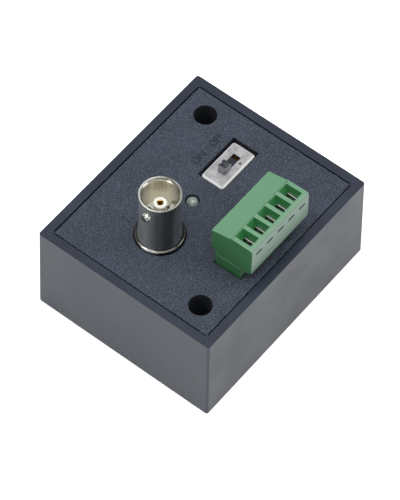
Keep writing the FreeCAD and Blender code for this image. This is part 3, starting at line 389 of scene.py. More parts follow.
def band(middle: float, reach: float) -> Span:
    """Return the values that lie one reach below and above a middle."""
    return middle - reach, middle + reach


@dataclass(frozen=True)
class Finish:
    """What every finish has: the record's slot, which also names the material."""

    slot: str

    def build(self) -> bpy.types.Material:
        """Build the material.

        Returns:
            The material.
        """
        paint = Painter(self.slot)
        self.lay(paint)
        return paint.material

    def lay(self, paint: Painter) -> None:
        """Lay the finish on; each kind does it in its own way."""
        raise NotImplementedError


@dataclass(frozen=True)
class MouldedPlastic(Finish):
    """Opaque moulded plastic with a fine grain and faint clouds of tone."""

    deep: Colour
    light: Colour
    rough: float
    rough_reach: float = 0.05
    grain: float = 0.3 * MM
    clouds: float = 9 * MM
    depth: float = 0.01 * MM
    shine: float = 0.5
    soft: float = 0.0
    soft_reach: float = 0.6 * MM

    def lay(self, paint: Painter) -> None:
        """Lay the grain, the tone and the bump.

        Args:
            paint: Painter of the material.
        """
        fine = paint.noise(self.grain)
        cloud = paint.noise(self.clouds, roughness=0.5)
        tone = fine.ramp(*WIDE, 0.0, 0.7) + cloud.ramp(*NARROW, 0.0, 0.3)
        paint.set(Base_Color=paint.mix(tone, self.deep, self.light), Specular_IOR_Level=self.shine,
                  Roughness=fine.ramp(*WIDE, *band(self.rough, self.rough_reach)))
        if self.soft:
            paint.set(Subsurface_Weight=self.soft, Subsurface_Scale=self.soft_reach,
                      Subsurface_Radius=EVEN_SCATTER)
        paint.bump(fine, self.depth)


@dataclass(frozen=True)
class ErodedPlastic(Finish):
    """Dark plastic with the grain of a spark-eroded mould, scattered pale specks painted as glints, and
    painted shade in its wells.
    """

    deep: Colour = (0.003, 0.005, 0.012)
    light: Colour = (0.083, 0.109, 0.165)
    # Painted glints: pale bluish specks over the grain
    glint: Colour = (0.42, 0.5, 0.62)
    grain: float = 0.22 * MM
    pebble: float = 0.37 * MM
    pebble_edge: Span = (0.1, 0.62, 1.0, 0.0)
    pebble_share: float = 0.7
    grain_share: float = 0.25
    cloud_share: float = 0.1
    # Size and edges of the painted glints
    glint_grain: float = 0.176 * MM
    glint_edge: Span = (0.63, 0.73, 0.0, 0.6)
    clouds: float = 6 * MM
    depth: float = 0.2 * MM
    grain_depth: float = 0.12 * MM
    rough: float = 0.5
    rough_reach: float = 0.1

    def lay(self, paint: Painter) -> None:
        """Lay the pebbled grain, the painted glints and the painted shade in the wells.

        Args:
            paint: Painter of the material.
        """
        grain = paint.noise(self.grain, 3.0)
        pebbles = paint.cells(self.pebble).ramp(*self.pebble_edge)
        specks = paint.noise(self.glint_grain, 1.0, 0.5)
        cloud = paint.noise(self.clouds, roughness=0.5)
        tone = grain.ramp(*NARROW, 0.0, self.grain_share) + cloud.ramp(*NARROW, 0.0, self.cloud_share)
        tone += pebbles * self.pebble_share
        well = paint.axis("Z") < WELL_TOP
        paint.set(Base_Color=paint.mix(tone, self.deep, self.light),
                  Roughness=well | grain.ramp(*WIDE, *band(self.rough, -self.rough_reach)))
        # Painted glints on the grain, then near black painted shade in the wells
        paint.cover(specks.ramp(*self.glint_edge), self.glint)
        paint.cover(well, WELL_SHADE)
        paint.bump(grain, self.grain_depth)
        paint.bump(pebbles, self.depth)


@dataclass(frozen=True)
class ScuffedPlastic(Finish):
    """Smooth dark housing plastic with a satin grain, slight scuffs low on its sides, painted shade on its
    front and near black painted shade in its wells.
    """

    deep: Colour = (0.008, 0.011, 0.022)
    light: Colour = (0.022, 0.028, 0.048)
    worn: Colour = (0.1, 0.11, 0.13)
    worn_share: float = 0.35
    tint: Colour = (0.86, 0.93, 1.0)
    # Painted shade that darkens the faces turned to -Y
    front: Colour = (0.0, 0.003, 0.014)
    front_shade_share: float = 0.9
    shine: float = 0.5
    grain: float = 0.25 * MM
    clouds: float = 12 * MM
    scuff_size: float = 2.2 * MM
    scuff_stretch: Place = (1.0, 1.0, 0.35)
    scuff_edge: Span = (0.62, 0.74)
    scuff_level: Span = (12 * MM, 2 * MM)
    depth: float = 0.008 * MM
    wave_depth: float = 0.04 * MM
    rough: float = 0.34
    rough_reach: float = 0.05
    scuff_rough: float = 0.2

    def lay(self, paint: Painter) -> None:
        """Lay the satin grain, the scuffs, the painted shade on the front and the painted shade in the
        wells.

        Args:
            paint: Painter of the material.
        """
        grain = paint.noise(self.grain)
        cloud = paint.noise(self.clouds, 3.0, 0.55)
        strokes = paint.noise(self.scuff_size, 4.0, 0.7, self.scuff_stretch, 0.6)
        scuff = strokes.ramp(*self.scuff_edge) * paint.axis("Z").ramp(*self.scuff_level)
        tone = grain.ramp(*WIDE, 0.0, 0.6) + cloud.ramp(*WIDE, 0.0, 0.4)
        rough = cloud.ramp(*WIDE, *band(self.rough, self.rough_reach)) + scuff * self.scuff_rough
        well = paint.in_wells()
        paint.set(Base_Color=paint.mix(tone, self.deep, self.light), Specular_Tint=self.tint,
                  Specular_IOR_Level=self.shine, Roughness=rough | well)
        paint.cover(scuff * self.worn_share, self.worn)
        # Painted shade on the front faces, then near black painted shade in the wells
        paint.cover(paint.facing("Y", -1) * self.front_shade_share, self.front)
        paint.cover(well, WELL_SHADE)
        paint.bump(grain, self.depth)
        paint.bump(cloud, self.wave_depth)


@dataclass(frozen=True)
class PlatedMetal(Finish):
    """Plated metal with a fine grain and faint stains."""

    colour: Colour
    stain: Colour
    rough: float
    rough_reach: float = 0.05
    grain: float = 0.15 * MM
    clouds: float = 2.5 * MM
    depth: float = 0.002 * MM

    def lay(self, paint: Painter) -> None:
        """Lay the grain and the stains.

        Args:
            paint: Painter of the material.
        """
        fine = paint.noise(self.grain, 3.0)
        both = fine + paint.noise(self.clouds, 3.0)
        paint.set(Base_Color=paint.mix(both.ramp(0.8, 1.2), self.colour, self.stain), Metallic=1.0,
                  Roughness=both.ramp(0.75, 1.25, *band(self.rough, self.rough_reach)))
        paint.bump(fine, self.depth)


@dataclass(frozen=True)
class RidgedPlastic(MouldedPlastic):
    """Moulded plastic with a painted reflection on its upright faces, which makes them paler, and painted
    shade on its edges.
    """

    # Painted reflection that makes upright faces paler; painted shade on the rounded edges
    upright: Colour = (0.13, 0.135, 0.15)
    edge: Colour = (0.004, 0.005, 0.01)

    def lay(self, paint: Painter) -> None:
        """Lay the painted reflection on the upright faces and the painted shade on the edges over the
        plastic.

        Args:
            paint: Painter of the material.
        """
        super().lay(paint)
        # Painted reflection on the upright faces, then painted shade on the rounded edges
        paint.cover(paint.facing("Z", 1, 0.9, 0.5), self.upright)
        paint.cover(paint.leaning(), self.edge)


@dataclass(frozen=True)
class SlottedPlastic(MouldedPlastic):
    """Moulded plastic with light and shade painted on its faces, edges, entries, step and front slits."""

    # Painted shade, near black, in and round the front slits and in the step's shadow line
    slit_low: Place = (-9.2 * MM, -20.9 * MM, 36.44 * MM)
    slit_high: Place = (10.4 * MM, -20.05 * MM, 37.36 * MM)
    slit_half: float = 1.05 * MM
    dark: Colour = (0.004, 0.01, 0.006)
    # Painted light and shade by face: sheen on the top, reflection of the pale floor on the near side,
    # shade on the ends
    top: Colour = (0.26, 0.44, 0.34)
    top_sheen_share: float = 0.26
    near: Colour = (0.44, 0.32, 0.52)
    near_reflection_share: float = 0.16
    end: Colour = (0.0, 0.06, 0.0)
    end_shade_share: float = 0.25
    # Painted highlights on the rounded edges, above the screw bores at the back
    edge: Colour = (0.56, 0.7, 0.6)
    edge_highlight_share: float = 0.75
    back: float = -12.6 * MM
    bore_top: float = 36.2 * MM
    foot: float = 30.3 * MM
    # Brighter green painted inside the entries as light on their walls
    throat_light: Colour = (0.045, 0.27, 0.08)
    entry_low: Place = (-9.2 * MM, -19.9 * MM, 36.0 * MM)
    entry_high: Place = (10.4 * MM, -15.32 * MM, 39.12 * MM)
    # Painted shadow of the step behind the entries
    step_shadow_low: Place = (-9.5 * MM, -15.16 * MM, 38.8 * MM)
    step_shadow_high: Place = (10.7 * MM, -14.96 * MM, 39.3 * MM)
    line_share: float = 0.6

    def lay(self, paint: Painter) -> None:
        """Lay painted light and shade on the faces, edges, entries, step and slits over the plastic.

        The edges of the screw bores, low on the back, stay as they are.

        Args:
            paint: Painter of the material.
        """
        super().lay(paint)
        # Painted sheen on the top, painted reflection on the near side, painted shade on the ends
        for letter, sign, colour, share in (("Z", 1, self.top, self.top_sheen_share),
                                            ("Y", -1, self.near, self.near_reflection_share),
                                            ("X", -1, self.end, self.end_shade_share)):
            paint.cover(paint.facing(letter, sign) * share, colour)
        # Painted highlights on the rounded edges
        lowest = (paint.axis("Y") > self.back) * (self.bore_top - self.foot) + self.foot
        paint.cover(paint.leaning() * (paint.axis("Z") > lowest) * self.edge_highlight_share, self.edge)
        # Painted light in the entries, the step's painted shadow, and painted shade in the slits
        paint.cover(paint.region(self.entry_low, self.entry_high), self.throat_light)
        paint.cover(paint.region(self.step_shadow_low, self.step_shadow_high) * self.line_share, self.dark)
        slits = (paint.from_pole() < self.slit_half) * paint.region(self.slit_low, self.slit_high)
        paint.cover(slits, self.dark)


@dataclass(frozen=True)
class FoldedSteel(PlatedMetal):
    """Sheet steel whose bends carry a painted pale highlight."""

    # Painted highlight on the bends: its colour, its metalness, and the normals where it starts and ends
    bend_highlight: Colour = (0.97, 0.97, 0.97)
    bend_highlight_metal: float = 0.15
    bend_start: Span = (0.3, 0.45)
    bend_end: Span = (0.93, 0.97)

    def lay(self, paint: Painter) -> None:
        """Lay the painted highlight on the bends over the steel.

        Args:
            paint: Painter of the material.
        """
        super().lay(paint)
        # Painted highlight on the bends, between the flat top and the upright sides
        bend = paint.facing("Z", 1, *self.bend_start) - paint.facing("Z", 1, *self.bend_end)
        paint.cover(bend, self.bend_highlight)
        paint.set(Metallic=bend.ramp(0.0, 1.0, 1.0, self.bend_highlight_metal))


@dataclass(frozen=True)
class GroovedPlastic(MouldedPlastic):
    """Moulded plastic with painted shade in a ring round the jack's axis, for the shadow in its groove."""

    # Painted shade in the groove ring
    ring: Span = (2.4 * MM, 3.5 * MM)
    bottom: float = 33.3 * MM
    dark: Colour = (0.07, 0.065, 0.055)

    def lay(self, paint: Painter) -> None:
        """Lay the painted shade of the groove over the plastic.

        Args:
            paint: Painter of the material.
        """
        super().lay(paint)
        # Painted shade in the groove ring
        groove = paint.radius(JACK_AXIS).within(*self.ring) * (paint.axis("Z") < self.bottom)
        paint.cover(groove, self.dark)


@dataclass(frozen=True)
class BoredMetal(PlatedMetal):
    """Plated metal with a warmer bore round the jack's axis; light and shade are painted on its barrel,
    foot, bore and the plug's clamps.
    """

    bore: Span = (4.3 * MM, 4.25 * MM)
    satin: Colour = (0.88, 0.81, 0.69)
    satin_rough: float = 0.24
    # Painted shade on the bore's flanks across the view, with faint streaks
    shade_and_streaks: Colour = (0.36, 0.345, 0.305)
    streak: float = 0.5 * MM
    streak_stretch: Place = (1.0, 1.0, 0.04)
    streak_share: float = 0.3
    # Level direction across the view, along which the barrel's painted highlights and dark band and the
    # bore's painted shade are laid
    across: Point = (0.606, -0.795)
    flank: Span = (1.5 * MM, 3.7 * MM)
    # Painted highlights: a pale band on the barrel's left flank and a fainter one on its right
    pale: Colour = (0.8, 0.82, 0.76)
    sheen_metal: float = 0.84
    sheen_left: Span = (-0.6 * MM, -3.2 * MM)
    sheen_right: Span = (2.6 * MM, 3.4 * MM, 0.0, 0.35)
    # Painted dark reflection in a band on the barrel
    band_place: float = 1.7 * MM
    band_fall: Span = (1.6 * MM, 0.5 * MM, 0.0, 0.45)
    # Foot ring: painted dark reflection, with a painted highlight at its lower left
    foot: float = 5.2 * MM
    foot_share: float = 0.95
    dark_reflection: Colour = (0.06, 0.058, 0.052)
    gleam: Colour = (0.6, 0.59, 0.57)
    gleam_side: Point = (-0.977, -0.213)
    gleam_edge: Span = (5.2 * MM, 5.55 * MM)
    # Clamps in the plug: painted shade, with thin painted highlight lines
    clamp: Colour = (0.05, 0.05, 0.05)
    clamp_highlight: Colour = (1.0, 1.0, 0.98)
    line_pitch: float = 0.6 * MM
    line_half: float = 0.09 * MM
    clamp_side: float = -13.5 * MM
    clamp_face: Span = (0.8, 0.9)
    clamp_metal: float = 0.35
    clamp_rough: float = 0.4

    def lay(self, paint: Painter) -> None:
        """Lay painted highlights and dark reflections on the barrel and foot, painted shade in the bore,
        and painted shade and highlight lines on the clamps.

        Args:
            paint: Painter of the material.
        """
        super().lay(paint)
        out, side = paint.radius(JACK_AXIS), paint.along(self.across, JACK_AXIS)
        # Painted highlights on the barrel's flanks, then its painted dark band
        sheen = side.ramp(*self.sheen_left) | side.ramp(*self.sheen_right)
        paint.cover(sheen, self.pale)
        paint.cover(abs(side - self.band_place).ramp(*self.band_fall), self.dark_reflection)
        # Painted dark reflection on the foot ring, with a painted highlight at its lower left
        foot = (out > self.foot) * (paint.axis("Y") > self.clamp_side)
        gleam = paint.along(self.gleam_side, JACK_AXIS).ramp(*self.gleam_edge)
        paint.cover(foot * self.foot_share, paint.mix(gleam, self.dark_reflection, self.gleam))
        # Painted shade on the bore's flanks, with faint streaks
        inside = out.ramp(*self.bore)
        streaks = paint.noise(self.streak, stretch=self.streak_stretch)
        shadow = abs(side).ramp(*self.flank) | streaks.ramp(*NARROW, 0.0, self.streak_share)
        paint.cover(inside, paint.mix(shadow, self.satin, self.shade_and_streaks))
        # Painted shade on the clamps, with thin painted highlight lines
        clamp = (paint.axis("Y") < self.clamp_side) * paint.facing("Z", 1, *self.clamp_face)
        lines = paint.from_pole().nearest(self.line_pitch) < self.line_half
        paint.cover(clamp, paint.mix(lines, self.clamp, self.clamp_highlight))
        metal = sheen.ramp(0.0, 1.0, 1.0, self.sheen_metal) | inside
        rough = paint.fed("Roughness") | inside * self.satin_rough | clamp * self.clamp_rough
        paint.set(Metallic=metal - clamp * (1 - self.clamp_metal), Roughness=rough)


@dataclass(frozen=True)
class CloudedResin(Finish):
    """Clouded lamp resin that scatters light below its surface."""

    colour: Colour = (0.145, 0.19, 0.175)
    core: Colour = (0.3, 0.345, 0.33)
    clouds: float = 0.9 * MM
    rough: Span = (0.06, 0.12)
    shine: float = 1.0
    soft: float = 0.5
    soft_reach: float = 0.8 * MM
    depth: float = 0.01 * MM

    def lay(self, paint: Painter) -> None:
        """Lay the clouds and the scattering.

        Args:
            paint: Painter of the material.
        """
        cloud = paint.noise(self.clouds, roughness=0.5)
        paint.set(Base_Color=paint.mix(cloud.ramp(*NARROW), self.colour, self.core),
                  Roughness=cloud.ramp(*WIDE, *self.rough), Specular_IOR_Level=self.shine,
                  Subsurface_Weight=self.soft, Subsurface_Scale=self.soft_reach,
                  Subsurface_Radius=EVEN_SCATTER)
        paint.bump(cloud, self.depth)


@dataclass(frozen=True)
class Laminate(Finish):
    """Board material: fibres or tracks under a thin varnish."""

    colour: Colour
    line: Colour
    pitch: float = 1.3 * MM
    waviness: float = 2.0
    line_share: float = 0.6
    fibre: float = 0.2 * MM
    fibre_stretch: Place = (1.0, 4.0, 1.0)
    fibre_share: float = 0.4
    rough: float = 0.35
    rough_reach: float = 0.08
    line_depth: float = 0.03 * MM
    fibre_depth: float = 0.005 * MM

    def lay(self, paint: Painter) -> None:
        """Lay the lines and the fibres.

        Args:
            paint: Painter of the material.
        """
        wave = paint.read("TexWave", "Fac", Vector=paint.place, Scale=0.3 / self.pitch,
                          Distortion=self.waviness)
        fibre = paint.noise(self.fibre, 3.0, stretch=self.fibre_stretch)
        tracks = wave.ramp(0.45, 0.55)
        paint.set(Base_Color=paint.mix(tracks * self.line_share, self.colour, self.line),
                  Roughness=fibre.ramp(*WIDE, *band(self.rough, self.rough_reach)))
        paint.cover(fibre.ramp(*WIDE, 0.0, self.fibre_share), self.line)
        paint.bump(tracks, self.line_depth)
        paint.bump(fibre, self.fibre_depth)


FINISHES: tuple[Finish, ...] = (
    ScuffedPlastic("case_plastic"),
    ErodedPlastic("lid_plastic"),
    Laminate("board_laminate", colour=(0.02, 0.11, 0.05), line=(0.04, 0.2, 0.09)),
    BoredMetal("nickel", colour=(0.5, 0.505, 0.44), stain=(0.42, 0.43, 0.37), rough=0.14,
               rough_reach=0.02, depth=0.0004 * MM),
    GroovedPlastic("white_insulator", deep=(0.77, 0.77, 0.69), light=(0.87, 0.87, 0.8), rough=0.35,
                   soft=0.3),
    PlatedMetal("gold", colour=(0.88, 0.64, 0.28), stain=(0.62, 0.42, 0.16), rough=0.25),
    CloudedResin("lamp_lens"),
    PlatedMetal("tin", colour=(0.66, 0.66, 0.64), stain=(0.46, 0.46, 0.44), rough=0.3),
    PlatedMetal("zinc_screw", colour=(0.62, 0.64, 0.66), stain=(0.42, 0.44, 0.47), rough=0.28),
    FoldedSteel("steel_sheet", colour=(0.68, 0.68, 0.69), stain=(0.34, 0.34, 0.35), rough=0.34,
                grain=0.2 * MM, depth=0.008 * MM),
    Laminate("brown_laminate", colour=(0.62, 0.3, 0.1), line=(0.85, 0.5, 0.22), pitch=0.6 * MM),
    RidgedPlastic("black_plastic", deep=(0.007, 0.009, 0.017), light=(0.022, 0.028, 0.044), rough=0.14,
                  depth=0.002 * MM),
    SlottedPlastic("green_plastic", deep=(0.042, 0.18, 0.063), light=(0.06, 0.215, 0.085), rough=0.36,
                   rough_reach=0.015, grain=0.5 * MM, depth=0.001 * MM, shine=1.0),
    MouldedPlastic("ceramic", deep=(0.5, 0.44, 0.33), light=(0.66, 0.59, 0.46), rough=0.4),
    PlatedMetal("capacitor_can", colour=(0.74, 0.74, 0.75), stain=(0.6, 0.6, 0.62), rough=0.25),
    MouldedPlastic("ferrite", deep=(0.03, 0.03, 0.03), light=(0.07, 0.07, 0.07), rough=0.6),
)
PALETTE: dict[str, bpy.types.Material] = {}


# Meshes

def new_object(name: str, data: bpy.types.ID) -> bpy.types.Object:
    """Put a mesh, a curve, a light or a camera into the scene as an object at the origin."""
    item = bpy.data.objects.new(name, data)
    bpy.context.scene.collection.objects.link(item)
    return item


def shade(mesh: bpy.types.Mesh, angle: float = MOULDED_ANGLE) -> None:
    """Shade a mesh smoothly, apart from edges sharper than an angle in degrees."""
    mesh.polygons.foreach_set("use_smooth", [True] * len(mesh.polygons))
    mesh.set_sharp_from_angle(angle=math.radians(angle))


@contextmanager
def editing(mesh: bpy.types.Mesh) -> Iterator[bmesh.types.BMesh]:
    """Open a mesh for editing, and write it back afterwards.

    Args:
        mesh: The mesh.

    Yields:
        Its editable form.
    """
    work = bmesh.new()
    work.from_mesh(mesh)
    yield work
    work.to_mesh(mesh)
    work.free()


def evaluated(item: bpy.types.Object) -> bpy.types.Object:
    """Replace an object's mesh by what its modifiers make of it, and remove them.

    Args:
        item: The object.

    Returns:
        The same object.
    """
    graph = bpy.context.evaluated_depsgraph_get()
    graph.update()
    mesh = bpy.data.meshes.new_from_object(item.evaluated_get(graph), preserve_all_data_layers=True,
                                           depsgraph=graph)
    item.modifiers.clear()
    old = item.data
    item.data = mesh
    mesh.name = item.name
    if not old.users:
        bpy.data.meshes.remove(old)
    return item


def tidy(mesh: bpy.types.Mesh) -> None:
    """Merge doubles, drop loose points and turn every face outwards."""
    with editing(mesh) as work:
        bmesh.ops.remove_doubles(work, verts=work.verts, dist=MERGE)
        loose = [point for point in work.verts if not point.link_faces]
        bmesh.ops.delete(work, geom=loose, context="VERTS")
        bmesh.ops.recalc_face_normals(work, faces=work.faces)


def dressed_copy(node: str, name: str, bevel: float, segments: int = 2,
                 weigh: Callable[[Vector], float] | None = None) -> bpy.types.Object:
    """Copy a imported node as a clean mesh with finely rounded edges.

    Args:
        node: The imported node.
        name: Name of the copy.
        bevel: Width of the rounding in metres.
        segments: Steps in the rounding.
        weigh: Share of that width for a sharp edge with this middle; 1 everywhere without it.

    Returns:
        The copy, not yet riding on anything.
    """
    mesh = frame["nodes"][node].data.copy()
    mesh.materials.clear()
    with editing(mesh) as work:
        bmesh.ops.remove_doubles(work, verts=work.verts, dist=MERGE)
        bmesh.ops.dissolve_limit(work, angle_limit=math.radians(FLAT_ANGLE), verts=work.verts,
                                 edges=work.edges)
        weights = work.edges.layers.float.new("bevel_weight_edge")
        for edge in work.edges:
            if edge.is_manifold and edge.calc_face_angle() > math.radians(SHARP_ANGLE):
                middle = (edge.verts[0].co + edge.verts[1].co) / 2
                edge[weights] = weigh(middle) if weigh else 1.0
    item = new_object(name, mesh)
    rounding = item.modifiers.new("rounding", "BEVEL")
    rounding.width = bevel
    rounding.segments = segments
    rounding.limit_method = "WEIGHT"
    rounding.miter_outer = "MITER_ARC"
    rounding.use_clamp_overlap = True
    evaluated(item)
    shade(item.data)
    even = item.modifiers.new("even_normals", "WEIGHTED_NORMAL")
    even.keep_sharp = True
    even.weight = NORMAL_WEIGHT
    return evaluated(item)


def finish_piece(item: bpy.types.Object, body: Body | str, slot: str, *nodes: str) -> None:
    """Give a finished piece its material, its body and the nodes that it stands for.

    Args:
        item: The piece.
        body: What it rides on.
        slot: The record's material slot, which names the finish.
        nodes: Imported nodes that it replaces.
    """
    if item.data.materials:
        item.data.materials[0] = PALETTE[slot]
    else:
        item.data.materials.append(PALETTE[slot])
    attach(item, body.value if isinstance(body, Body) else body)
    if nodes:
        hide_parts(*nodes)
    LOG.info("%s: %d faces on %s", item.name, len(item.data.polygons), item["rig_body"])


def dress(node: str, name: str, body: Body, slot: str, bevel: float) -> None:
    """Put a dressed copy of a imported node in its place."""
    finish_piece(dressed_copy(node, name, bevel), body, slot, node)


def paint_nodes(slot: str, *nodes: str) -> None:
    """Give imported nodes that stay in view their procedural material.

    Args:
        slot: The finish.
        nodes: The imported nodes.
    """
    for node in nodes:
        item = frame["nodes"][node]
        if not item.material_slots:
            item.data.materials.append(PALETTE[slot])
        else:
            for place in item.material_slots:
                place.link = "OBJECT"
                place.material = PALETTE[slot]
        LOG.info("%s: painted as %s", node, slot)


# Geometry node trees

class Tree(Network):
    """A geometry node tree with named inputs that ends in realized, painted geometry."""

    prefix = "GeometryNode"

    def __init__(self, name: str) -> None:
        """Start the tree.

        Args:
            name: Name of the tree.
        """
        super().__init__(bpy.data.node_groups.new(name, "GeometryNodeTree"))
        for way in ("INPUT", "OUTPUT"):
            self.tree.interface.new_socket("Geometry", in_out=way, socket_type="NodeSocketGeometry")
        self.keys: dict[str, str] = {}
        self.source = self.tree.nodes.new("NodeGroupInput")
        self.sink = self.tree.nodes.new("NodeGroupOutput")
        self.finish = self.inputs("Material", "Finish")[0]

    def inputs(self, kind: str, *names: str) -> list[Value]:
        """Add named inputs.

        Args:
            kind: Kind of their sockets.
            names: Their names.

        Returns:
            Their values inside the tree.
        """
        for name in names:
            item = self.tree.interface.new_socket(name, in_out="INPUT", socket_type="NodeSocket" + kind)
            self.keys[name] = item.identifier
        return [Value(self, self.source.outputs[name]) for name in names]

    def close(self, geometry: bpy.types.Node) -> None:
        """End the tree: realize instances, set the material and give the result out."""
        real = self.add("RealizeInstances", Geometry=geometry)
        self.feed(self.sink.inputs[0], self.add("SetMaterial", Geometry=real, Material=self.finish))

    def run(self, item: bpy.types.Object, slot: str, **values: object) -> None:
        """Apply the tree to an object with these inputs, leaving a plain mesh.

        Args:
            item: Object whose geometry goes in.
            slot: Finish of the result.
            values: Inputs, with underscores for the spaces in their names.
        """
        modifier = item.modifiers.new(self.tree.name, "NODES")
        modifier.node_group = self.tree
        modifier[self.keys["Finish"]] = PALETTE[slot]
        for name, value in values.items():
            modifier[self.keys[name.replace("_", " ")]] = value
        tidy(evaluated(item).data)


def lathe_tree() -> Tree:
    """Build the tree that turns a half section round an upright axis.

    Returns:
        The tree, with inputs Segments and Core.
    """
    tree = Tree("turned_piece")
    segments, = tree.inputs("Int", "Segments")
    core, = tree.inputs("Float", "Core")
    section = tree.add("MeshToCurve", Mesh=tree.source)
    ring = tree.add("CurvePrimitiveCircle", Resolution=segments, Radius=core)
    tree.close(tree.add("CurveToMesh", Curve=ring, Profile_Curve=section))
    return tree


def thread_tree() -> Tree:
    """Build the tree that winds a thread crest along Y onto the piece that goes in.

    Returns:
        The tree, with inputs Turns, Pitch, Radius, Crest, Start and Wind Steps.
    """
    tree = Tree("screw_thread")
    turns, pitch, radius, crest = tree.inputs("Float", "Turns", "Pitch", "Radius", "Crest")
    start, = tree.inputs("Vector", "Start")
    steps, = tree.inputs("Int", "Wind Steps")
    helix = tree.add("CurveSpiral", Resolution=steps, Rotations=turns, Start_Radius=radius,
                     End_Radius=radius, Height=turns * pitch)
    ridge = tree.add("CurvePrimitiveCircle", Resolution=5, Radius=crest)
    skin = tree.add("CurveToMesh", Curve=helix, Profile_Curve=ridge, Fill_Caps=True)
    placed = tree.add("Transform", Geometry=skin, Translation=start,
                      Rotation=(math.radians(90), 0, 0))
    joined = tree.add("JoinGeometry", Geometry=tree.source)
    tree.feed(joined.inputs[0], placed)
    tree.close(joined)
    return tree


def winding_tree() -> Tree:
    """Build the tree that sets wire loops round a ring that stands about the origin.

    Returns:
        The tree, with inputs Turns, Ring Radius, Loop Width, Loop Height, Wire, Corner and Centre.
    """
    tree = Tree("wire_winding")
    turns, = tree.inputs("Int", "Turns")
    radius, width, height, wire, corner = tree.inputs("Float", "Ring Radius", "Loop Width",
                                                      "Loop Height", "Wire", "Corner")
    centre, = tree.inputs("Vector", "Centre")
    path = tree.add("CurvePrimitiveCircle", Resolution=96, Radius=radius)
    points = tree.add("CurveToPoints", Curve=path, Count=turns)
    loop = tree.add("CurvePrimitiveQuadrilateral", Width=width, Height=height)
    rounded = tree.add("FilletCurve", Curve=loop, Radius=corner)
    rounded.mode = "POLY"
    rounded.inputs["Count"].default_value = 4
    thick = tree.add("CurvePrimitiveCircle", Resolution=6, Radius=wire)
    strand = tree.add("CurveToMesh", Curve=rounded, Profile_Curve=thick)
    loops = tree.add("InstanceOnPoints", Points=points, Instance=strand,
                     Rotation=points.outputs["Rotation"])
    tree.close(tree.add("Transform", Geometry=loops, Translation=centre))
    return tree


def turned(tree: Tree, name: str, section: Sequence[Point], axis: Vector, slot: str,
           segments: int) -> bpy.types.Object:
    """Turn a half section round an upright axis into a closed piece.

    Args:
        tree: The lathe tree.
        name: Name of the piece.
        section: Points of radius and height in metres, once round the section.
        axis: Foot of the axis; heights count from it.
        slot: Finish.
        segments: Steps round the axis.

    Returns:
        The piece, in place.
    """
    core = 0.5 * MM
    mesh = bpy.data.meshes.new(name)
    last = len(section) - 1
    edges = [(number, number + 1) for number in range(last)]
    if section[0][0] > MERGE:
        edges.append((last, 0))
    mesh.from_pydata([(radius - core, -height, 0.0) for radius, height in section], edges, [])
    item = new_object(name, mesh)
    tree.run(item, slot, Segments=segments, Core=core)
    item.data.transform(Matrix.Translation(axis))
    shade(item.data, TURNED_ANGLE)
    return item


def arc(centre: Point, radius: float, start: float, end: float, steps: int) -> list[Point]:
    """Return points on an arc of a section; its angles are in degrees, 0 outwards and 90 up."""
    angles = [math.radians(start + (end - start) * step / steps) for step in range(steps + 1)]
    return [(centre[0] + radius * math.cos(angle), centre[1] + radius * math.sin(angle))
            for angle in angles]


def add_block(work: bmesh.types.BMesh, middle: Vector, size: Vector) -> None:
    """Add a plain block to a mesh that is open for editing."""
    bmesh.ops.create_cube(work, size=1.0, matrix=Matrix.LocRotScale(middle, None, size))


# Sub-assemblies

@dataclass
class Housing:
    """Case and grained lid."""

    edge: float = 0.16 * MM
    lid_edge: float = 0.1 * MM

    def build(self) -> None:
        """Dress both mouldings."""
        dress("case_shell", "housing_case", Body.CASE, "case_plastic", self.edge)
        dress("lid", "housing_lid", Body.CASE, "lid_plastic", self.lid_edge)


@dataclass
class Mark:
    """One raised generic mark on the lid: its text, its place and the size of its letters."""

    text: str
    x: float
    y: float
    size: float


@dataclass
class Marks:
    """Faint generic marks moulded into the lid."""

    lift: float = 0.1 * MM
    swell: float = 0.04 * MM
    marks: tuple[Mark, ...] = (
        Mark("ON", 10.2 * MM, 9.2 * MM, 2.295 * MM),
        Mark("OFF", 16.4 * MM, 9.2 * MM, 2.295 * MM),
        Mark("1", -13.0 * MM, 11.3 * MM, 2.7 * MM),
        Mark("2", -11.4 * MM, -7.4 * MM, 2.7 * MM),
    )

    def build(self) -> None:
        """Build the marks as one thin piece on the lid's top."""
        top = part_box("lid")[1].z
        marks = bpy.data.meshes.new("lid_marks")
        with editing(marks) as work:
            for mark in self.marks:
                curve = bpy.data.curves.new("mark", "FONT")
                curve.body = mark.text
                curve.size = mark.size
                curve.extrude = self.lift
                curve.offset = self.swell
                curve.align_x = curve.align_y = "CENTER"
                item = new_object("mark", curve)
                graph = bpy.context.evaluated_depsgraph_get()
                mesh = bpy.data.meshes.new_from_object(item.evaluated_get(graph))
                mesh.transform(Matrix.Translation((mark.x, mark.y, top)))
                work.from_mesh(mesh)
                bpy.data.objects.remove(item)
                bpy.data.curves.remove(curve)
                bpy.data.meshes.remove(mesh)
        tidy(marks)
        finish_piece(new_object("lid_marks", marks), Body.CASE, "case_plastic")


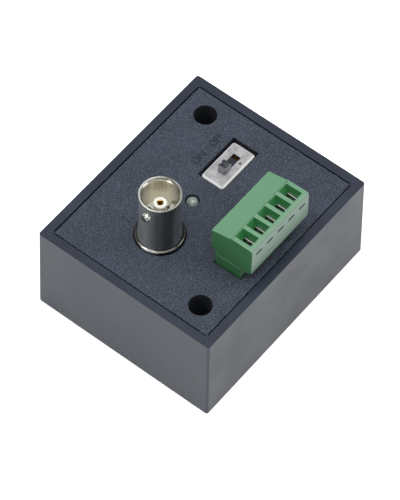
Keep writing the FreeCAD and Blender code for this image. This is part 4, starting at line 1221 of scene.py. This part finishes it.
@dataclass
class Jack:
    """Bayonet jack: turned barrel with lugs and legs, white insulator and gold socket."""

    radius: float = 4.8 * MM
    mouth_radius: float = 4.4 * MM
    mouth_depth: float = 0.4 * MM
    bore_radius: float = 4.05 * MM
    floor: float = 1.0 * MM
    eye: float = 1.5 * MM
    foot_radius: float = 5.76 * MM
    foot_level: float = 6.75 * MM
    foot_bevel: float = 0.36 * MM
    foot_fall: float = 0.25 * MM
    foot_flat: float = 0.05 * MM
    foot_dip: float = 0.01 * MM
    foot_groove: float = 0.2 * MM
    flare_reach: float = 5.27 * MM
    flare_height: float = 4.6 * MM
    flare_power: float = 2.4
    flare_steps: int = 14
    lip: float = 0.1 * MM
    lip_steps: int = 4
    hold: float = 0.06 * MM
    lug_radius: float = 1.0 * MM
    lug_bevel: float = 0.22 * MM
    lug_drop: float = 3.7 * MM
    lug_root: float = 4.15 * MM
    lug_reach: float = 5.45 * MM
    lug_steps: int = 32
    leg_spread: float = 3.55 * MM
    leg_width: float = 1.0 * MM
    leg_length: float = 3.0 * MM
    leg_root: float = 0.05 * MM
    segments: int = 128
    insulator_edge: float = 0.07 * MM
    collar_bore: float = 0.8 * MM
    collar_edge: float = 1.3 * MM
    collar_segments: int = 48
    socket_edge: float = 0.05 * MM

    def section(self, height: float) -> list[Point]:
        """Return the barrel's half section.

        Args:
            height: Height of the barrel.

        Returns:
            Points once round, from the eye in its floor outwards.
        """
        level, flat, dip = self.foot_level, self.foot_flat, self.foot_dip
        shoulder = level - self.foot_fall - flat
        crown = self.foot_radius - self.foot_bevel
        groove = level - self.foot_groove
        ledge = height - self.lip
        mouth = height - self.mouth_depth
        points = [(self.eye, 0.0), (self.foot_radius, 0.0), (self.foot_radius, shoulder),
                  (self.foot_radius - dip, shoulder + flat), (crown, level - dip),
                  (crown - flat, level), (crown - 2 * flat, level - flat)]
        for number in range(self.flare_steps + 1):
            share = number / self.flare_steps
            points.append((self.radius + (self.flare_reach - self.radius) * (1 - share) ** self.flare_power,
                           groove + (level + self.flare_height - groove) * share))
        points.append((self.radius, ledge - self.hold))
        points += arc((self.radius - self.lip, ledge), self.lip, 0, 90, self.lip_steps)
        points += arc((self.mouth_radius + self.lip, ledge), self.lip, 90, 180, self.lip_steps)
        points += [(self.mouth_radius, ledge - self.hold), (self.mouth_radius, mouth),
                   (self.bore_radius, mouth - (self.mouth_radius - self.bore_radius)),
                   (self.bore_radius, self.floor), (self.eye, self.floor)]
        return points

    def add_lugs(self, work: bmesh.types.BMesh, middle: Vector) -> None:
        """Add the two bayonet lugs, as short studs with rounded ends.

        Args:
            work: Mesh of the barrel.
            middle: Where their common axis crosses the barrel's.
        """
        waist = 0.3 * self.lug_bevel
        profile = [(self.lug_radius, self.lug_root), (self.lug_radius, self.lug_reach - self.lug_bevel),
                   (self.lug_radius - waist, self.lug_reach - waist),
                   (self.lug_radius - self.lug_bevel, self.lug_reach)]
        angles = [math.tau * number / self.lug_steps for number in range(self.lug_steps)]
        for side in (1, -1):
            rings = [[work.verts.new(middle + Vector((side * reach, radius * math.cos(angle),
                                                      radius * math.sin(angle)))) for angle in angles]
                     for radius, reach in profile]
            for first, second in zip(rings, rings[1:]):
                for number in range(self.lug_steps):
                    work.faces.new((first[number - 1], first[number], second[number], second[number - 1]))
            work.faces.new(rings[0])
            work.faces.new(rings[-1])

    def add_legs(self, work: bmesh.types.BMesh, axis: Vector) -> None:
        """Add the four ground legs below the barrel.

        Args:
            work: Mesh of the barrel.
            axis: Foot of the jack's axis.
        """
        size = Vector((self.leg_width, self.leg_width, self.leg_length + 2 * self.leg_root))
        drop = self.leg_root - self.leg_length / 2
        for x in (self.leg_spread, -self.leg_spread):
            for y in (self.leg_spread, -self.leg_spread):
                add_block(work, axis + Vector((x, y, drop)), size)

    def build(self, tree: Tree) -> None:
        """Build the jack.

        Args:
            tree: The lathe tree.
        """
        low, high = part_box("jack_barrel")
        axis = Vector(((low.x + high.x) / 2, (low.y + high.y) / 2, low.z + self.leg_length))
        height = high.z - axis.z
        barrel = turned(tree, "jack_barrel_shell", self.section(height), axis, "nickel", self.segments)
        with editing(barrel.data) as work:
            self.add_lugs(work, axis + Vector((0.0, 0.0, height - self.lug_drop)))
            self.add_legs(work, axis)
        tidy(barrel.data)
        shade(barrel.data, TURNED_ANGLE)
        finish_piece(barrel, Body.CASE, "nickel", "jack_barrel")
        dress("jack_insulator", "jack_insulator_body", Body.CASE, "white_insulator", self.insulator_edge)
        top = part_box("jack_insulator")[1].z - axis.z
        rim = [(self.collar_bore, top - self.lip), (self.collar_edge, top - self.lip),
               (self.collar_edge, top + self.hold), (self.collar_bore, top + self.hold)]
        collar = turned(tree, "jack_insulator_lip", rim, axis, "white_insulator", self.collar_segments)
        finish_piece(collar, Body.CASE, "white_insulator")
        dress("jack_socket", "jack_centre_socket", Body.CASE, "gold", self.socket_edge)


@dataclass
class Lamp:
    """Domed lamp lens; its leads stay as packed."""

    flange_radius: float = 1.85 * MM
    flange_height: float = 0.8 * MM
    dome_radius: float = 1.45 * MM
    dome_steps: int = 18
    segments: int = 64

    def build(self, tree: Tree) -> None:
        """Build the lens.

        Args:
            tree: The lathe tree.
        """
        low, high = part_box("lamp_lens")
        axis = Vector((high.x - self.flange_radius, (low.y + high.y) / 2, low.z))
        radius, height = self.dome_radius, high.z - low.z
        section = [(0.0, 0.0), (self.flange_radius, 0.0), (self.flange_radius, self.flange_height),
                   (radius, self.flange_height)]
        section += arc((0.0, height - radius), radius, 0, 90, self.dome_steps)
        section[-1] = (0.0, height)
        lens = turned(tree, "lamp_dome", section, axis, "lamp_lens", self.segments)
        finish_piece(lens, Body.CASE, "lamp_lens", "lamp_lens")
        paint_nodes("tin", "lamp_leads")


@dataclass
class SlideSwitch:
    """Folded steel frame, slider and the parts under them."""

    bend: float = 0.18 * MM
    bend_steps: int = 3
    bend_reach: float = 0.6 * MM
    fine: float = 0.2
    knob_edge: float = 0.1 * MM

    def build(self) -> None:
        """Dress the frame and the slider, and paint the rest."""
        low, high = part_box("switch_frame")

        def weigh(middle: Vector) -> float:
            """Round the outer bends widely and the slot's edges finely."""
            inset = min(middle.x - low.x, high.x - middle.x, middle.y - low.y, high.y - middle.y)
            return 1.0 if inset < self.bend_reach and middle.z > high.z - self.bend_reach else self.fine

        shell = dressed_copy("switch_frame", "switch_steel_frame", self.bend, self.bend_steps, weigh)
        finish_piece(shell, Body.CASE, "steel_sheet", "switch_frame")
        dress("switch_slider", "switch_ridged_knob", Body.KNOB, "black_plastic", self.knob_edge)
        paint_nodes("brown_laminate", "switch_base_board")
        paint_nodes("tin", "switch_terminals", "switch_blades")


@dataclass
class Terminal:
    """Green header and plug, with contacts, clamp screws and cages."""

    edge: float = 0.15 * MM
    end_reach: float = 0.05 * MM
    fine: float = 0.35
    nib: Place = (0.5 * MM, 0.3 * MM, 0.3 * MM)
    nib_gap: float = 0.02 * MM
    nib_line: float = -15.15 * MM
    nib_level: float = 39.2 * MM
    screw_edge: float = 0.04 * MM
    head_height: float = 1.2 * MM
    thread_pitch: float = 0.4 * MM
    thread_radius: float = 1.0 * MM
    thread_crest: float = 0.05 * MM
    wind_steps: int = 18

    def build(self, tree: Tree) -> None:
        """Build the terminal.

        Args:
            tree: The thread tree.
        """
        dress("terminal_header", "terminal_header_shroud", Body.CASE, "green_plastic", self.edge)
        low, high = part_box("terminal_plug")

        def weigh(middle: Vector) -> float:
            """Round the outer edges more than the openings."""
            return 1.0 if min(middle.x - low.x, high.x - middle.x) < self.end_reach else self.fine

        plug = dressed_copy("terminal_plug", "terminal_plug_housing", self.edge, weigh=weigh)
        with editing(plug.data) as work:
            inset = self.nib[0] / 2 + self.nib_gap
            for x in (low.x + inset, high.x - inset):
                add_block(work, Vector((x, self.nib_line, self.nib_level)), Vector(self.nib))
        finish_piece(plug, Body.PLUG, "green_plastic", "terminal_plug")
        for pole in range(1, POLES + 1):
            self.build_pole(pole, tree)

    def build_pole(self, pole: int, tree: Tree) -> None:
        """Dress one pole.

        Args:
            pole: Number of the pole, from 1.
            tree: The thread tree.
        """
        paint_nodes("tin", "header_pin_%d" % pole, "plug_contact_%d" % pole)
        paint_nodes("nickel", "clamp_cage_%d" % pole)
        node = "clamp_screw_%d" % pole
        low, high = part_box(node)
        screw = dressed_copy(node, "clamp_screw_%d_threaded" % pole, self.screw_edge)
        turns = (high.y - low.y - self.head_height - 2 * self.thread_crest) / self.thread_pitch
        start = Vector(((low.x + high.x) / 2, high.y - self.head_height - self.thread_crest,
                        (low.z + high.z) / 2))
        tree.run(screw, "zinc_screw", Turns=turns, Pitch=self.thread_pitch, Radius=self.thread_radius,
                 Crest=self.thread_crest, Start=start, Wind_Steps=self.wind_steps)
        shade(screw.data)
        finish_piece(screw, "screw_%d" % pole, "zinc_screw", node)


@dataclass
class BoardParts:
    """Circuit board and what is soldered to it."""

    wire: float = 0.16 * MM
    turns: int = 34
    corner: float = 0.5 * MM
    choke_foot: float = 1.0 * MM
    choke_bore: float = 2.9 * MM
    painted: tuple[tuple[str, ...], ...] = (
        ("board_laminate", "circuit_board"),
        ("black_plastic", "amplifier_chip", "voltage_regulator", "supply_diode", "chip_resistors"),
        ("ceramic", "chip_capacitors", "surge_arrester_1", "surge_arrester_2"),
        ("capacitor_can", "smoothing_capacitor_1", "smoothing_capacitor_2"),
        ("ferrite", "line_choke"),
    )

    def build(self, tree: Tree) -> None:
        """Paint the board's parts and wind the choke.

        Args:
            tree: The winding tree.
        """
        for slot, *nodes in self.painted:
            paint_nodes(slot, *nodes)
        low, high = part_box("line_choke")
        outer = (high.x - low.x) / 2
        height = high.z - low.z - self.choke_foot
        item = new_object("choke_winding", bpy.data.meshes.new("choke_winding"))
        tree.run(item, "gold", Turns=self.turns, Ring_Radius=(outer + self.choke_bore) / 2,
                 Loop_Width=outer - self.choke_bore + 2 * self.wire, Loop_Height=height + 2 * self.wire,
                 Wire=self.wire, Corner=self.corner,
                 Centre=Vector((0.0, (low.y + high.y) / 2, low.z + height / 2)))
        shade(item.data, WINDING_ANGLE)
        finish_piece(item, Body.CASE, "gold")


@dataclass(frozen=True)
class Panel:
    """One square soft light: place in metres, side and power."""

    name: str
    place: Place
    side: float
    power: float


@dataclass
class Studio:
    """Pale floor, soft light and the camera at the photo's angle."""

    eye: Vector = field(default_factory=lambda: Vector((-337.54, -256.76, 638.19)) * MM)
    look: Vector = field(default_factory=lambda: Vector((0.4450, 0.3392, -0.8288)))
    roll: float = math.radians(1.387)
    focal_pixels: float = 3361.7
    frame_height: int = 500
    sensor: float = 36.0
    clip: Span = (0.01, 20.0)
    floor_half: float = 3.0
    floor_gap: float = 0.02 * MM
    floor_tone: Colour = (0.8, 0.8, 0.8)
    camera_glow: float = 0.62
    glossy_glow: float = 0.4
    sky_top: float = 0.8
    horizon: float = 0.14
    zenith: float = 0.78
    panels: tuple[Panel, ...] = (
        Panel("overhead", (-0.02, -0.06, 0.90), 0.66, 4.9),
        Panel("left", (-0.74, 0.18, 0.65), 0.3, 1.1),
        Panel("front", (0.40, -0.80, 0.30), 0.45, 0.8),
        Panel("high_left", (-0.36, 0.42, 0.80), 0.34, 1.1),
        Panel("high_right", (0.52, -0.48, 0.70), 0.34, 1.1),
    )

    @staticmethod
    def aim(item: bpy.types.Object, place: Vector, look: Vector, roll: float = 0.0) -> None:
        """Stand a camera or a light at a place and turn it along a direction."""
        turn = look.to_track_quat("-Z", "Y") @ Quaternion((0.0, 0.0, 1.0), roll)
        item.matrix_world = Matrix.LocRotScale(place, turn, None)

    def build_camera(self) -> None:
        """Set up the camera."""
        data = bpy.data.cameras.new("view")
        data.sensor_fit = "AUTO"
        data.sensor_width = self.sensor
        data.lens = self.focal_pixels / self.frame_height * self.sensor
        data.clip_start, data.clip_end = self.clip
        camera = new_object("view", data)
        self.aim(camera, self.eye, self.look.normalized(), self.roll)
        bpy.context.scene.camera = camera

    def build_floor(self) -> None:
        """Lay the floor: white to the camera, with the box's soft shadow on it."""
        half, level = self.floor_half, -self.floor_gap
        mesh = bpy.data.meshes.new("floor")
        corners = [(-half, -half, level), (half, -half, level), (half, half, level), (-half, half, level)]
        mesh.from_pydata(corners, [], [(0, 1, 2, 3)])
        floor = new_object("floor", mesh)
        material = bpy.data.materials.new("floor_white")
        material.use_nodes = True
        net = Network(material.node_tree)
        camera, glossy, through = (net.read("LightPath", "Is %s Ray" % kind)
                                   for kind in ("Camera", "Glossy", "Transmission"))
        glow = (camera + through) * self.camera_glow + glossy * self.glossy_glow
        both = net.add("AddShader")
        net.feed(both.inputs[0], net.add("BsdfDiffuse", Color=self.floor_tone))
        net.feed(both.inputs[1], net.add("Emission", Strength=glow))
        net.add("OutputMaterial", Surface=both)
        mesh.materials.append(material)
        floor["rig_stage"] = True

    def build_world(self) -> None:
        """Light the scene with a pale tent that is brighter overhead."""
        world = bpy.data.worlds.new("tent")
        bpy.context.scene.world = world
        world.use_nodes = True
        net = Network(world.node_tree)
        height = net.part(net.add("TexCoord").outputs["Generated"], "Z")
        tent = height.ramp(0.0, self.sky_top, self.horizon, self.zenith)
        white = net.read("LightPath", "Is Camera Ray")
        net.add("OutputWorld", Surface=net.add("Background", Strength=white | tent))

    def build_lamps(self) -> None:
        """Hang the soft panels, turned to the object."""
        for panel in self.panels:
            data = bpy.data.lights.new(panel.name, "AREA")
            data.shape = "SQUARE"
            data.size = panel.side
            data.energy = panel.power
            place = Vector(panel.place)
            self.aim(new_object(panel.name, data), place, -place)

    def build(self) -> None:
        """Set the studio up."""
        self.build_camera()
        self.build_floor()
        self.build_world()
        self.build_lamps()
        bpy.context.scene.view_settings.view_transform = "Standard"


def main() -> None:
    """Build every sub-assembly in order."""
    logging.basicConfig(level=logging.INFO, format="%(message)s")
    for finish in FINISHES:
        PALETTE[finish.slot] = finish.build()
    lathe = lathe_tree()
    Studio().build()
    Housing().build()
    Marks().build()
    Jack().build(lathe)
    Lamp().build(lathe)
    SlideSwitch().build()
    Terminal().build(thread_tree())
    BoardParts().build(winding_tree())


if __name__ == "__main__":
    main()
    boxes = [[list(corner) for corner in box] for box in (CAD_BOX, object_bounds())]
